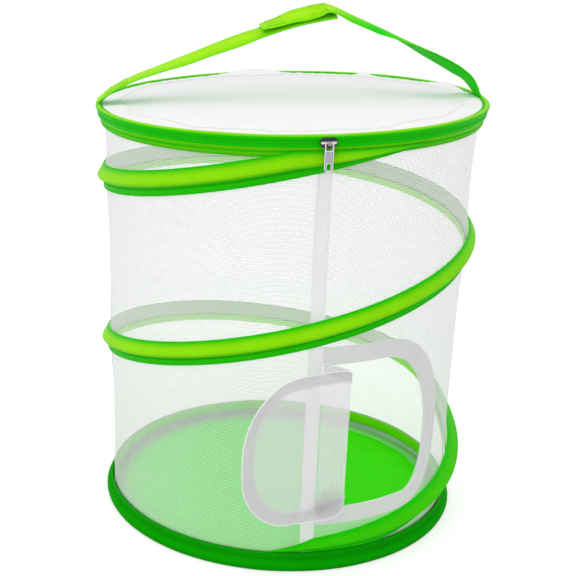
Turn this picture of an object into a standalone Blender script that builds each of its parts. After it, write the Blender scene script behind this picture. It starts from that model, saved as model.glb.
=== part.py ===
"""Pop-up insect cage: a net cylinder on spring wire hoops, with a zipped lid, a net door and a strap.

Metres, +Z up. The origin is the middle of the floor, on the surface that the cage stands on.
The front is at -Y and the carry strap crosses the lid along X. Azimuths count from +X to +Y.
Every ring, tape and sleeve follows the same regular polygon, so the gaps between them stay even.
"""
import math

import bmesh
import bpy
from mathutils import Matrix, Vector

# Driving sizes
CAGE_HEIGHT = 0.336
HOOP_RADIUS = 0.1476
WIRE_DIAMETER = 0.0015
FERRULE_EASE = 0.00025
FERRULE_WALL = 0.0003
FERRULE_LENGTH = 0.010
CLOTH = 0.0005
SLEEVE_CLOTH = 0.0007
GAP = 0.0003
RING_SIDES = 48
WIRE_SIDES = 6
SHARP_EDGE = math.radians(30.0)
BOTTOM_JOINT_STEP = 8
TOP_JOINT_STEP = 15

# Net wall and the flat tapes on it
NET_INSIDE_HOOP = 0.0052
NET_THICKNESS = 0.0005
NET_FOOT = 0.0011
TAPE_THICKNESS = 0.0004
SEAM_AZIMUTH = math.radians(-87.6)
SEAM_WIDTH = 0.0104
STAY_TAPE_HEIGHT = 0.0055
STAY_TAPE_RISE = 0.0003

# Spring sleeve: turns from its upper end, and the height of its lower edge there as a share
SLEEVE_START_DEGREES = -75.0
SLEEVE_TURN_STEPS = 98
SLEEVE_HEIGHT = 0.019
SLEEVE_HEM = 0.0056
SLEEVE_LIP = 0.003
SLEEVE_EASE = 0.00095
SLEEVE_ROUTE_SHARES = (
    (0.0, 0.942),
    (0.236, 0.821),
    (0.569, 0.747),
    (0.883, 0.640),
    (1.236, 0.426),
    (1.569, 0.283),
    (1.70, 0.245),
    (1.735, 0.226),
    (1.80, 0.152),
    (1.892, 0.080),
    (2.042, 0.019),
)
# Bulge of the sleeve from its foot up: height share of the bulge, and share of the stand-off
SLEEVE_BULGE_SHARES = ((0.04, 0.36), (0.13, 0.90), (0.28, 1.0), (0.46, 0.88), (0.74, 0.40))
SLEEVE_WIRE_HEIGHT_SHARE = 0.29
SLEEVE_TRIMMED_SHARE = 0.45
SLEEVE_LEAST_TRIM_SHARE = 0.12

# Collar: the green band round the top of the wall, with the lower half of the zip
COLLAR_HEIGHT = 0.0086
COLLAR_PROUD = 0.0004
COLLAR_LAP = 0.0044
ZIP_BELOW_PIPING = 0.0017
ZIP_BEAD_HEIGHT = 0.0006
ZIP_BEAD_DEPTH = 0.0010
ZIP_TAPE_DEPTH = 0.006
ZIP_HALF_TURN_STEPS = 22
ZIP_STOP_LENGTH = 0.004
ZIP_STOP_DEPTH = 0.0014
HINGE_TAB_HALF_WIDTH = 0.016

# Lid
PIPING_DIAMETER = 0.0042
PIPING_LEG = 0.0034
PIPING_ARC = math.radians(110.0)
PIPING_ARC_STEPS = 7
LID_EDGE_TUCK = 0.0017
LID_HEM_WIDTH = 0.012
LID_HEM_THICKNESS = 0.0004

# Floor and bottom sleeve
FLOOR_THICKNESS = 0.0008
BOTTOM_SLEEVE_HEIGHT = 0.015
BOTTOM_SLEEVE_HEM = 0.0055
BOTTOM_WIRE_HEIGHT = 0.0042
FLOOR_SEAM_WIDTH = 0.010

# Zip slider and its pull
SLIDER_LENGTH = 0.0108
SLIDER_HEIGHT = 0.0066
SLIDER_FACE = 0.0012
SLIDER_LIP = 0.00045
SLIDER_DROP = 0.0025
BRIDGE_WIDTH = 0.003
BRIDGE_DEPTH = 0.0032
BRIDGE_WALL = 0.0008
BRIDGE_HEIGHT = 0.0046
PULL_LENGTH = 0.0195
PULL_WIDTH = 0.006
PULL_THICKNESS = 0.0012
PULL_RAIL = 0.0008
PULL_BAR = 0.001
PULL_WINDOW = 0.0042
PULL_HOLE = 0.0042
PULL_HOLE_RAIL = 0.0011
PULL_END_STEPS = 8

# Door: sizes on the wall, along it from the seam and up from the ground
DOOR_WIDTH = 0.104
DOOR_TOP = 0.170
DOOR_BOTTOM = 0.052
DOOR_SHOULDER_WIDTH = 0.050
DOOR_SHOULDER_HEIGHT = 0.071
DOOR_HEEL_WIDTH = 0.022
DOOR_HEEL_HEIGHT = 0.036
DOOR_ARC_STEPS = 7
DOOR_TAPE_WIDTH = 0.014
DOOR_TAPE_SIDE_WIDTH = 0.019
FLAP_OVERLAP_SIDE = 0.007
FLAP_OVERLAP = 0.005
FLAP_TAPE_WIDTH = 0.010
FLAP_TAPE_THICKNESS = 0.0006
FLAP_CREASE = 0.026
FLAP_BEND = 0.067
FLAP_CREASE_STAND = 0.004
FLAP_TIP_SEAT = 0.0019
FLAP_OPEN_SLANT = math.radians(8.0)
CREASE_CLEARANCE = 0.0002
PATCH_DIAMETER = 0.024
PATCH_THICKNESS = 0.0008
PATCH_FROM_CREASE = 0.015
PATCH_FROM_BOTTOM = 0.014

# Carry strap: two straps that lap at the grip, each line as shares of the half span and the rise
STRAP_WIDTH = 0.022
STRAP_THICKNESS = 0.0014
STRAP_RISE = 0.0685
STRAP_END_LENGTH = 0.020
LEFT_STRAP_SHARES = (
    (-1.0, 0.0),
    (-0.92, 0.112),
    (-0.813, 0.225),
    (-0.678, 0.325),
    (-0.542, 0.418),
    (-0.407, 0.518),
    (-0.271, 0.614),
    (-0.156, 0.700),
    (0.0, 0.795),
    (0.122, 0.843),
    (0.224, 0.879),
)
RIGHT_STRAP_SHARES = (
    (-0.156, 0.735),
    (-0.068, 0.800),
    (0.0, 0.856),
    (0.081, 0.900),
    (0.136, 0.926),
    (0.176, 0.938),
    (0.224, 0.914),
    (0.305, 0.842),
    (0.407, 0.749),
    (0.508, 0.651),
    (0.61, 0.533),
    (0.711, 0.413),
    (0.799, 0.309),
    (0.881, 0.205),
    (0.949, 0.118),
    (1.0, 0.0),
)
STRAP_TWIST = math.radians(26.0)
LEFT_TWIST_SHARES = (
    (-1.0, 0.0),
    (-0.813, 0.11),
    (-0.542, 0.45),
    (-0.271, 0.62),
    (-0.156, 0.5),
    (0.224, 0.4),
)
RIGHT_TWIST_SHARES = (
    (-0.156, 0.5),
    (0.224, 0.4),
    (0.39, 0.38),
    (0.52, -0.55),
    (0.711, -1.0),
    (0.86, -0.92),
    (1.0, 0.0),
)
STRAP_STEPS = 18
STRAP_END_STEPS = 4

RING_STEP = 2.0 * math.pi / RING_SIDES
COS_HALF_STEP = math.cos(RING_STEP / 2)
WIRE_RADIUS = WIRE_DIAMETER / 2
NET_RADIUS = HOOP_RADIUS - NET_INSIDE_HOOP
NET_OUTSIDE = NET_RADIUS + NET_THICKNESS
TAPE_INSIDE = NET_OUTSIDE + GAP
TAPE_OUTSIDE = TAPE_INSIDE + TAPE_THICKNESS
STAY_TAPE_OUTSIDE = NET_RADIUS - GAP
STAY_TAPE_INSIDE = STAY_TAPE_OUTSIDE - TAPE_THICKNESS
SLEEVE_INSIDE = TAPE_OUTSIDE + GAP
SLEEVE_OUTSIDE = HOOP_RADIUS + WIRE_RADIUS + SLEEVE_CLOTH + SLEEVE_EASE
PIPING_RADIUS = PIPING_DIAMETER / 2
PIPING_OUTSIDE = HOOP_RADIUS + PIPING_RADIUS
HOOP_HEIGHT = CAGE_HEIGHT - PIPING_RADIUS
LID_UNDERSIDE = HOOP_HEIGHT - NET_THICKNESS / 2
ZIP_LINE = HOOP_HEIGHT - PIPING_RADIUS - ZIP_BELOW_PIPING
COLLAR_TOP = ZIP_LINE - ZIP_BEAD_HEIGHT - GAP / 2 - GAP
COLLAR_FOOT = COLLAR_TOP - COLLAR_HEIGHT
COLLAR_TOP_OUTSIDE = HOOP_RADIUS + COLLAR_PROUD
COLLAR_TOP_INSIDE = COLLAR_TOP_OUTSIDE - SLEEVE_CLOTH
COLLAR_FLARE = COLLAR_TOP_INSIDE - SLEEVE_INSIDE
ZIP_INSIDE = COLLAR_TOP_OUTSIDE + GAP
ZIP_OUTSIDE = ZIP_INSIDE + ZIP_BEAD_DEPTH
NET_TOP = COLLAR_TOP + GAP
SLIDER_FACE_INSIDE = PIPING_OUTSIDE + GAP
SLIDER_FACE_OUTSIDE = SLIDER_FACE_INSIDE + SLIDER_FACE
FLAP_CREASE_RADIUS = NET_OUTSIDE + FLAP_CREASE_STAND
STRAP_HALF_SPAN = HOOP_RADIUS


# Ring geometry
def facet_radius(radius, azimuth):
    """Distance from the axis to the ring polygon whose corners lie at radius."""
    offset = (azimuth % RING_STEP) - RING_STEP / 2
    return radius * COS_HALF_STEP / math.cos(offset)


def ring_point(radius, azimuth, height):
    reach = facet_radius(radius, azimuth)
    return Vector((reach * math.cos(azimuth), reach * math.sin(azimuth), height))


def steps_between(low, high, count):
    return [low + (high - low) * i / count for i in range(count + 1)]


def smooth_at(table, place):
    """Reads a table of (place, value) pairs as a smooth curve through its points."""
    index = 0
    while index < len(table) - 2 and place > table[index + 1][0]:
        index += 1
    x1, y1 = table[index]
    x2, y2 = table[index + 1]
    x0, y0 = table[max(index - 1, 0)]
    x3, y3 = table[min(index + 2, len(table) - 1)]
    slope_in = (y2 - y0) / (x2 - x0)
    slope_out = (y3 - y1) / (x3 - x1)
    width = x2 - x1
    t = (place - x1) / width
    blend_in = t * (1 - t) ** 2 * width * slope_in
    blend_out = t * t * (t - 1) * width * slope_out
    return y1 * (1 + 2 * t) * (1 - t) ** 2 + y2 * t * t * (3 - 2 * t) + blend_in + blend_out


# Mesh building
def paint(name, colour, roughness, metallic=0.0, alpha=1.0):
    material = bpy.data.materials.new(name)
    material.use_nodes = True
    shader = material.node_tree.nodes["Principled BSDF"]
    shader.inputs["Base Color"].default_value = (*colour, 1.0)
    shader.inputs["Roughness"].default_value = roughness
    shader.inputs["Metallic"].default_value = metallic
    shader.inputs["Alpha"].default_value = alpha
    material.diffuse_color = (*colour, alpha)
    return material


def solid(name, points, faces, material):
    mesh = bpy.data.meshes.new(name)
    mesh.from_pydata([tuple(p) for p in points], [], faces)
    shape = bmesh.new()
    shape.from_mesh(mesh)
    bmesh.ops.recalc_face_normals(shape, faces=shape.faces)
    shape.to_mesh(mesh)
    shape.free()
    mesh.materials.append(material)
    mesh.shade_smooth()
    mesh.set_sharp_from_angle(angle=SHARP_EDGE)
    piece = bpy.data.objects.new(name, mesh)
    bpy.context.scene.collection.objects.link(piece)
    return piece


def loft(sections, closed):
    """Skin over sections of equal length, closed on itself or capped at both ends."""
    count = len(sections[0])
    points = [p for section in sections for p in section]
    faces = []
    spans = len(sections) if closed else len(sections) - 1
    for i in range(spans):
        here, there = i * count, (i + 1) % len(sections) * count
        for j in range(count):
            k = (j + 1) % count
            faces.append((here + j, here + k, there + k, there + j))
    if not closed:
        faces.append(tuple(range(count)))
        faces.append(tuple(range(len(points) - count, len(points))))
    return points, faces


def ring(name, profile, material, azimuths=None):
    """Turns a profile of (radius, height) pairs round the axis, or along the azimuths given."""
    turn = azimuths or [RING_STEP * i for i in range(RING_SIDES)]
    sections = [[ring_point(r, a, z) for r, z in profile] for a in turn]
    return solid(name, *loft(sections, azimuths is None), material)


def prism(outline, place, near, far):
    """A plate: outline of (along, up) pairs, place(along, up, out) gives the world point."""
    count = len(outline)
    points = [place(a, z, near) for a, z in outline] + [place(a, z, far) for a, z in outline]
    faces = [tuple(range(count)), tuple(range(count, 2 * count))]
    for i in range(count):
        k = (i + 1) % count
        faces.append((i, k, count + k, count + i))
    return points, faces


def wire_section(centre, outward, up):
    section = []
    for i in range(WIRE_SIDES):
        angle = 2 * math.pi * i / WIRE_SIDES
        spoke = outward * math.cos(angle) + up * math.sin(angle)
        section.append(centre + spoke * WIRE_RADIUS)
    return section


def hoop_wire(name, height, joint_azimuth, material):
    """A round hoop whose two ends meet inside a ferrule at the middle of one side."""
    half_gap = GAP / HOOP_RADIUS
    turn = [joint_azimuth + half_gap]
    turn += [joint_azimuth + RING_STEP * (i + 1 / 2) for i in range(RING_SIDES)]
    turn.append(joint_azimuth + 2 * math.pi - half_gap)
    sections = []
    for azimuth in turn:
        outward = Vector((math.cos(azimuth), math.sin(azimuth), 0.0))
        centre = ring_point(HOOP_RADIUS, azimuth, height)
        sections.append(wire_section(centre, outward, Vector((0.0, 0.0, 1.0))))
    return solid(name, *loft(sections, False), material)


def ferrule(name, height, azimuth, material):
    """A short tube crimped over the hoop's two ends."""
    inner = WIRE_RADIUS + FERRULE_EASE
    outer = inner + FERRULE_WALL
    sides = 2 * WIRE_SIDES
    outward = Vector((math.cos(azimuth), math.sin(azimuth), 0.0))
    along = Vector((-math.sin(azimuth), math.cos(azimuth), 0.0))
    centre = ring_point(HOOP_RADIUS, azimuth, height)
    rings = []
    for radius, end in ((outer, -1), (outer, 1), (inner, 1), (inner, -1)):
        middle = centre + along * (end * FERRULE_LENGTH / 2)
        section = []
        for i in range(sides):
            angle = 2 * math.pi * i / sides
            spoke = outward * math.cos(angle) + Vector((0.0, 0.0, math.sin(angle)))
            section.append(middle + spoke * radius)
        rings.append(section)
    return solid(name, *loft(rings, True), material)


def joint_axis(name, place, parent=None):
    """An empty that stands on a joint's axis and carries the pieces that turn or slide there."""
    axis = bpy.data.objects.new(name, None)
    bpy.context.scene.collection.objects.link(axis)
    axis.location = place
    if parent:
        axis.parent = parent
        axis.location = place - parent.matrix_world.translation
    bpy.context.view_layer.update()
    return axis


def carry(axis, pieces):
    for piece in pieces:
        piece.parent = axis
        piece.matrix_parent_inverse = Matrix.Translation(-axis.matrix_world.translation)


# Spring sleeve, its wire and the stay tape behind it
def sleeve_turns():
    """Every step of the spring from its upper end: (turns, azimuth)."""
    start = math.radians(SLEEVE_START_DEGREES)
    return [(i / RING_SIDES, start - RING_STEP * i) for i in range(SLEEVE_TURN_STEPS + 1)]


def sleeve_levels(turns):
    """Heights of the sleeve's lower edge, hem top, bulge top and upper edge at one place."""
    low = CAGE_HEIGHT * smooth_at(SLEEVE_ROUTE_SHARES, turns)
    high = min(low + SLEEVE_HEIGHT, COLLAR_FOOT + COLLAR_LAP)
    low = max(low, BOTTOM_SLEEVE_HEIGHT + 2 * GAP)
    room = (high - low) / SLEEVE_HEIGHT
    trim = max((room - SLEEVE_TRIMMED_SHARE) / (1 - SLEEVE_TRIMMED_SHARE), SLEEVE_LEAST_TRIM_SHARE)
    return low, low + SLEEVE_HEM * trim, high - SLEEVE_LIP * trim, high


def collar_outside(height):
    """Radius of the collar's outer face at one height."""
    rise = (height - COLLAR_FOOT) / COLLAR_HEIGHT
    return SLEEVE_INSIDE + SLEEVE_CLOTH + COLLAR_FLARE * rise


def sleeve_inside(height):
    """Radius of the sleeve's inner face: on the net, and over the collar where they lap."""
    lap_start = COLLAR_FOOT - COLLAR_LAP
    over_collar = collar_outside(max(height, COLLAR_FOOT)) + GAP
    lap = min(max((height - lap_start) / COLLAR_LAP, 0.0), 1.0)
    return SLEEVE_INSIDE + (over_collar - SLEEVE_INSIDE) * lap


def sleeve_profile(turns):
    low, foot, crown, high = sleeve_levels(turns)
    outside = SLEEVE_OUTSIDE
    tall = crown - foot
    skin = SLEEVE_CLOTH

    def out(height):
        return sleeve_inside(height) + skin

    def bulge(share_up, share_out, inset):
        height = foot + tall * share_up
        start = out(height)
        middle = foot + tall * SLEEVE_WIRE_HEIGHT_SHARE
        shrunk = height + (middle - height) * inset / (tall / 2)
        return start + (outside - start) * share_out - inset, shrunk

    outer = [(out(low), low), (out(foot), foot)]
    outer += [bulge(up, stand, 0.0) for up, stand in SLEEVE_BULGE_SHARES]
    outer += [(out(crown), crown), (out(high), high)]
    inner = [(sleeve_inside(high), high), (sleeve_inside(crown), crown)]
    inner += [bulge(up, stand, skin) for up, stand in reversed(SLEEVE_BULGE_SHARES)]
    inner += [(sleeve_inside(foot), foot), (sleeve_inside(low), low)]
    return outer + inner


def spring_wire_points():
    points = []
    for turns, azimuth in sleeve_turns():
        _, foot, crown, _ = sleeve_levels(turns)
        points.append(ring_point(HOOP_RADIUS, azimuth, foot + (crown - foot) * SLEEVE_WIRE_HEIGHT_SHARE))
    return points


def least_gap_to_itself(points):
    """Least clear distance between different turns of the spring wire."""
    apart = RING_SIDES // 2
    pairs = ((i, k) for i in range(len(points)) for k in range(i + apart, len(points)))
    least = min((points[i] - points[k]).length for i, k in pairs)
    return least - WIRE_DIAMETER


def spring(green, steel):
    sections = [[ring_point(r, a, z) for r, z in sleeve_profile(t)] for t, a in sleeve_turns()]
    solid("spring_sleeve", *loft(sections, False), green)
    centres = spring_wire_points()
    sections = []
    for (turns, azimuth), centre in zip(sleeve_turns(), centres):
        outward = Vector((math.cos(azimuth), math.sin(azimuth), 0.0))
        sections.append(wire_section(centre, outward, Vector((0.0, 0.0, 1.0))))
    solid("spring_wire", *loft(sections[1:-1], False), steel)
    print(f"spring wire: least gap to itself {least_gap_to_itself(centres):.4f} m")
    sections = []
    for turns, azimuth in sleeve_turns():
        low, _, _, high = sleeve_levels(turns)
        foot = low + STAY_TAPE_RISE
        head = min(foot + STAY_TAPE_HEIGHT, high)
        profile = (
            (STAY_TAPE_INSIDE, foot),
            (STAY_TAPE_OUTSIDE, foot),
            (STAY_TAPE_OUTSIDE, head),
            (STAY_TAPE_INSIDE, head),
        )
        sections.append([ring_point(r, azimuth, z) for r, z in profile])
    solid("spring_stay_tape", *loft(sections, False), green)


# Floor and bottom hoop
def bottom(green, floor_green, white, steel):
    sleeve_out = SLEEVE_OUTSIDE
    flat_in = NET_RADIUS + GAP
    hem = BOTTOM_SLEEVE_HEIGHT - BOTTOM_SLEEVE_HEM
    skin = SLEEVE_CLOTH
    bulge_out = HOOP_RADIUS + (sleeve_out - HOOP_RADIUS) / 2
    outer = [
        (flat_in, 0.0),
        (HOOP_RADIUS, 0.0),
        (bulge_out, BOTTOM_WIRE_HEIGHT / 4),
        (sleeve_out, BOTTOM_WIRE_HEIGHT),
        (bulge_out, BOTTOM_WIRE_HEIGHT + (hem - BOTTOM_WIRE_HEIGHT) / 2),
        (SLEEVE_INSIDE + (HOOP_RADIUS - SLEEVE_INSIDE) / 2, hem - skin / 2),
        (SLEEVE_INSIDE + skin, hem),
        (SLEEVE_INSIDE + skin, BOTTOM_SLEEVE_HEIGHT),
    ]
    inner = [
        (SLEEVE_INSIDE, BOTTOM_SLEEVE_HEIGHT),
        (SLEEVE_INSIDE, hem - skin),
        (SLEEVE_INSIDE + (HOOP_RADIUS - SLEEVE_INSIDE) / 2, hem - 2 * skin),
        (bulge_out - skin, BOTTOM_WIRE_HEIGHT + (hem - BOTTOM_WIRE_HEIGHT) / 2 - skin / 2),
        (sleeve_out - skin, BOTTOM_WIRE_HEIGHT),
        (bulge_out - skin, BOTTOM_WIRE_HEIGHT / 4 + skin),
        (HOOP_RADIUS - skin, FLOOR_THICKNESS),
        (flat_in, FLOOR_THICKNESS),
    ]
    ring("bottom_sleeve", outer + inner, green)
    joint = BOTTOM_JOINT_STEP * RING_STEP + RING_STEP / 2
    hoop_wire("bottom_hoop_wire", BOTTOM_WIRE_HEIGHT, joint, steel)
    ferrule("bottom_hoop_ferrule", BOTTOM_WIRE_HEIGHT, joint, steel)
    edge = [ring_point(NET_RADIUS, RING_STEP * i, 0.0) for i in range(RING_SIDES)]
    outline = [(p.x, p.y) for p in edge]
    floor = prism(outline, lambda x, y, z: Vector((x, y, z)), 0.0, FLOOR_THICKNESS)
    solid("floor_panel", *floor, floor_green)
    seam_outside = STAY_TAPE_INSIDE - GAP
    seam_low = FLOOR_THICKNESS + GAP
    profile = (
        (seam_outside - FLOOR_SEAM_WIDTH, seam_low),
        (seam_outside, seam_low),
        (seam_outside, seam_low + TAPE_THICKNESS),
        (seam_outside - FLOOR_SEAM_WIDTH, seam_low + TAPE_THICKNESS),
    )
    ring("floor_seam_allowance", profile, white)
    inside, outside = STAY_TAPE_INSIDE, STAY_TAPE_OUTSIDE
    high = BOTTOM_SLEEVE_HEIGHT + GAP
    low = high - STAY_TAPE_HEIGHT
    ring("bottom_stay_tape", ((inside, low), (outside, low), (outside, high), (inside, high)), green)


# Door outline, in lengths along the wall from the seam and heights above the ground
def door_upper(along, grow_side, grow):
    """Height of the door outline's upper edge, grown by the two margins."""
    start = DOOR_WIDTH - DOOR_SHOULDER_WIDTH
    half_width = DOOR_SHOULDER_WIDTH + grow_side
    reach = min(max((along - start) / half_width, 0.0), 1.0)
    return DOOR_TOP - DOOR_SHOULDER_HEIGHT + (DOOR_SHOULDER_HEIGHT + grow) * math.sqrt(1 - reach * reach)


def door_lower(along, grow_side, grow):
    start = DOOR_WIDTH - DOOR_HEEL_WIDTH
    half_width = DOOR_HEEL_WIDTH + grow_side
    reach = min(max((along - start) / half_width, 0.0), 1.0)
    return DOOR_BOTTOM + DOOR_HEEL_HEIGHT - (DOOR_HEEL_HEIGHT + grow) * math.sqrt(1 - reach * reach)


def door_stations(start, grow_side):
    """Places along the door from start to its right side, close together on the round corners."""
    straight = steps_between(start, DOOR_WIDTH - DOOR_SHOULDER_WIDTH, DOOR_ARC_STEPS)
    shoulder = DOOR_SHOULDER_WIDTH + grow_side
    turn = [math.sin(math.pi / 2 * i / DOOR_ARC_STEPS) for i in range(1, DOOR_ARC_STEPS + 1)]
    places = [s for s in straight if start < DOOR_WIDTH - DOOR_SHOULDER_WIDTH]
    if not places:
        places = [start]
    turned = [DOOR_WIDTH - DOOR_SHOULDER_WIDTH + shoulder * share for share in turn]
    return places + [s for s in turned if s > start]


def heel_stations(start, grow_side):
    heel = DOOR_HEEL_WIDTH + grow_side
    turn = [math.sin(math.pi / 2 * i / DOOR_ARC_STEPS) for i in range(1, DOOR_ARC_STEPS + 1)]
    places = steps_between(start, DOOR_WIDTH - DOOR_HEEL_WIDTH, DOOR_ARC_STEPS)
    if start >= DOOR_WIDTH - DOOR_HEEL_WIDTH:
        places = [start]
    places += [s for s in (DOOR_WIDTH - DOOR_HEEL_WIDTH + heel * share for share in turn) if s > start]
    return places


def door_path(start, grow_side, grow):
    """The outline from its upper left, over the shoulder, down the side and back along the foot."""
    upper = [(s, door_upper(s, grow_side, grow)) for s in door_stations(start, grow_side)]
    lower = [(s, door_lower(s, grow_side, grow)) for s in heel_stations(start, grow_side)]
    return upper + lower[::-1]


def wall_azimuth(along):
    return SEAM_AZIMUTH + along / NET_OUTSIDE


def wall_place(radius):
    def place(along, up, out):
        return ring_point(radius + out, wall_azimuth(along), up)

    return place


# Wall
def wall_columns(first, last, stations):
    """Azimuths from first to last: the polygon's corners, and the stations where shapes bend."""
    corners = [RING_STEP * i for i in range(-RING_SIDES // 2, RING_SIDES // 2)]
    least = RING_STEP / 16
    exact = []
    for azimuth in sorted(wall_azimuth(s) for s in stations):
        if not exact or azimuth - exact[-1] > least / 8:
            exact.append(azimuth)
    kept = [c for c in corners if first <= c <= last and min(abs(c - d) for d in exact) > least]
    return sorted(kept + exact)


def sheet(columns, levels_at, hole, radius, thickness, closed):
    """A thin sheet on the wall, built column by column, with four levels and a hole between two.

    The hole runs between the middle levels from the first to the last azimuth that it names."""
    slack = RING_STEP / 64
    points, faces, rows = [], [], []
    for azimuth in columns:
        rows.append((len(points), hole[0] - slack <= azimuth <= hole[1] + slack))
        levels = levels_at((azimuth - SEAM_AZIMUTH) * NET_OUTSIDE)
        for reach in (radius, radius + thickness):
            points += [ring_point(reach, azimuth, z) for z in levels]
    count = len(rows)
    for i in range(count if closed else count - 1):
        (here, hole_here), (there, hole_there) = rows[i], rows[(i + 1) % count]
        open_here = hole_here and hole_there
        for k in (0, 1, 2):
            if k != 1 or not open_here:
                faces.append((here + k, here + k + 1, there + k + 1, there + k))
                faces.append((here + k + 4, there + k + 4, there + k + 5, here + k + 5))
        faces.append((here, there, there + 4, here + 4))
        faces.append((here + 3, here + 7, there + 7, there + 3))
        if open_here:
            faces.append((here + 1, here + 5, there + 5, there + 1))
            faces.append((here + 2, there + 2, there + 6, here + 6))
    hole_rows = [start for start, inside in rows if inside]
    for start in (hole_rows[0], hole_rows[-1]):
        if closed or start != rows[0][0]:
            faces.append((start + 1, start + 2, start + 6, start + 5))
    if not closed:
        for start, inside in (rows[0], rows[-1]):
            for k in (0, 2) if inside else (0, 1, 2):
                faces.append((start + k, start + k + 1, start + k + 5, start + k + 4))
    return points, faces


def net_wall(white):
    """The net cylinder with the door cut out of it."""

    def levels_at(along):
        along = min(max(along, 0.0), DOOR_WIDTH)
        return [NET_FOOT, door_lower(along, 0.0, 0.0), door_upper(along, 0.0, 0.0), NET_TOP]

    columns = wall_columns(-math.pi, math.pi, door_stations(0.0, 0.0) + heel_stations(0.0, 0.0))
    hole = (SEAM_AZIMUTH, wall_azimuth(DOOR_WIDTH))
    return solid("net_wall", *sheet(columns, levels_at, hole, NET_RADIUS, NET_THICKNESS, True), white)


def seam_strip(white):
    """The tape over the wall's vertical joint."""
    half = SEAM_WIDTH / 2
    place = wall_place(TAPE_INSIDE)
    outline = [(-half, NET_FOOT), (half, NET_FOOT), (half, NET_TOP), (-half, NET_TOP)]
    return solid("wall_seam_strip", *prism(outline, place, 0.0, TAPE_THICKNESS), white)


def door_border(white):
    """The C of tape round the door opening, sewn to the outside of the net."""
    start, side, grow = SEAM_WIDTH / 2 + GAP, DOOR_TAPE_SIDE_WIDTH, DOOR_TAPE_WIDTH

    def levels_at(along):
        inner = min(along, DOOR_WIDTH)
        low, high = door_lower(along, side, grow), door_upper(along, side, grow)
        inner_low, inner_high = door_lower(inner, 0.0, 0.0), door_upper(inner, 0.0, 0.0)
        return [low, max(inner_low, low), min(inner_high, high), high]

    stations = door_stations(start, 0.0) + heel_stations(start, 0.0)
    stations += [s for s in door_stations(start, side) + heel_stations(start, side) if s > DOOR_WIDTH]
    columns = wall_columns(wall_azimuth(start), wall_azimuth(DOOR_WIDTH + side), stations)
    hole = (wall_azimuth(start), wall_azimuth(DOOR_WIDTH))
    cloth = sheet(columns, levels_at, hole, TAPE_INSIDE, TAPE_THICKNESS, False)
    return solid("door_border_tape", *cloth, white)


# Door flap: three flat slices, hinged at the crease and at the bend
def local_frame(origin, along, outward):
    def place(a, z, out):
        return origin + along * a + outward * out + Vector((0.0, 0.0, z))

    return place


def turned(vector, angle):
    return Matrix.Rotation(angle, 3, "Z") @ vector


def crease_point():
    azimuth = wall_azimuth(FLAP_CREASE)
    return Vector((math.cos(azimuth), math.sin(azimuth), 0.0)) * FLAP_CREASE_RADIUS


def flap_frames():
    """Frames of the root, middle and tip slices, each with its origin on its right-hand axis."""
    origin = crease_point()
    out = origin.normalized()
    right = turned(out, math.pi / 2)
    seam_radius = FLAP_CREASE_RADIUS - FLAP_TIP_SEAT
    seam = Vector((math.cos(SEAM_AZIMUTH), math.sin(SEAM_AZIMUTH), 0.0)) * seam_radius
    root_left = (seam - origin).normalized()
    root_out = turned(root_left, math.pi / 2)
    open_left = (-right * math.cos(FLAP_OPEN_SLANT) + out * math.sin(FLAP_OPEN_SLANT)).normalized()
    open_out = turned(open_left, math.pi / 2)
    bend = origin + open_left * (FLAP_BEND - FLAP_CREASE)
    return (
        local_frame(origin, root_left, root_out),
        local_frame(origin, open_left, open_out),
        local_frame(bend, open_left, open_out),
        bend,
    )


def slice_outline(start, end, grow_side, grow):
    """The part of the door outline between two places, as a closed loop, unless end is None."""
    if end is None:
        return door_path(start, grow_side, grow)
    upper = [(start, door_upper(start, grow_side, grow)), (end, door_upper(end, grow_side, grow))]
    middle = [s for s in door_stations(start, grow_side) if start < s < end]
    upper[1:1] = [(s, door_upper(s, grow_side, grow)) for s in middle]
    lower = [(end, door_lower(end, grow_side, grow)), (start, door_lower(start, grow_side, grow))]
    return upper + lower


def band_outlines(start, end):
    """The flap's edge tape between two places: one band above and one below, or a C at the tip."""
    side, grow = FLAP_OVERLAP_SIDE, FLAP_OVERLAP
    side_in, grow_in = side - FLAP_TAPE_WIDTH, grow - FLAP_TAPE_WIDTH
    if end is None:
        return [door_path(start, side, grow) + door_path(start, side_in, grow_in)[::-1]]
    places = [start] + [s for s in door_stations(start, side) if start < s < end] + [end]
    above = [(s, door_upper(s, side, grow)) for s in places]
    above += [(s, door_upper(s, side_in, grow_in)) for s in reversed(places)]
    below = [(s, door_lower(s, side_in, grow_in)) for s in (start, end)]
    below += [(s, door_lower(s, side, grow)) for s in (end, start)]
    return [above, below]


def shifted(outline, zero, flip):
    return [((s - zero) * flip, z) for s, z in outline]


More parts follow.
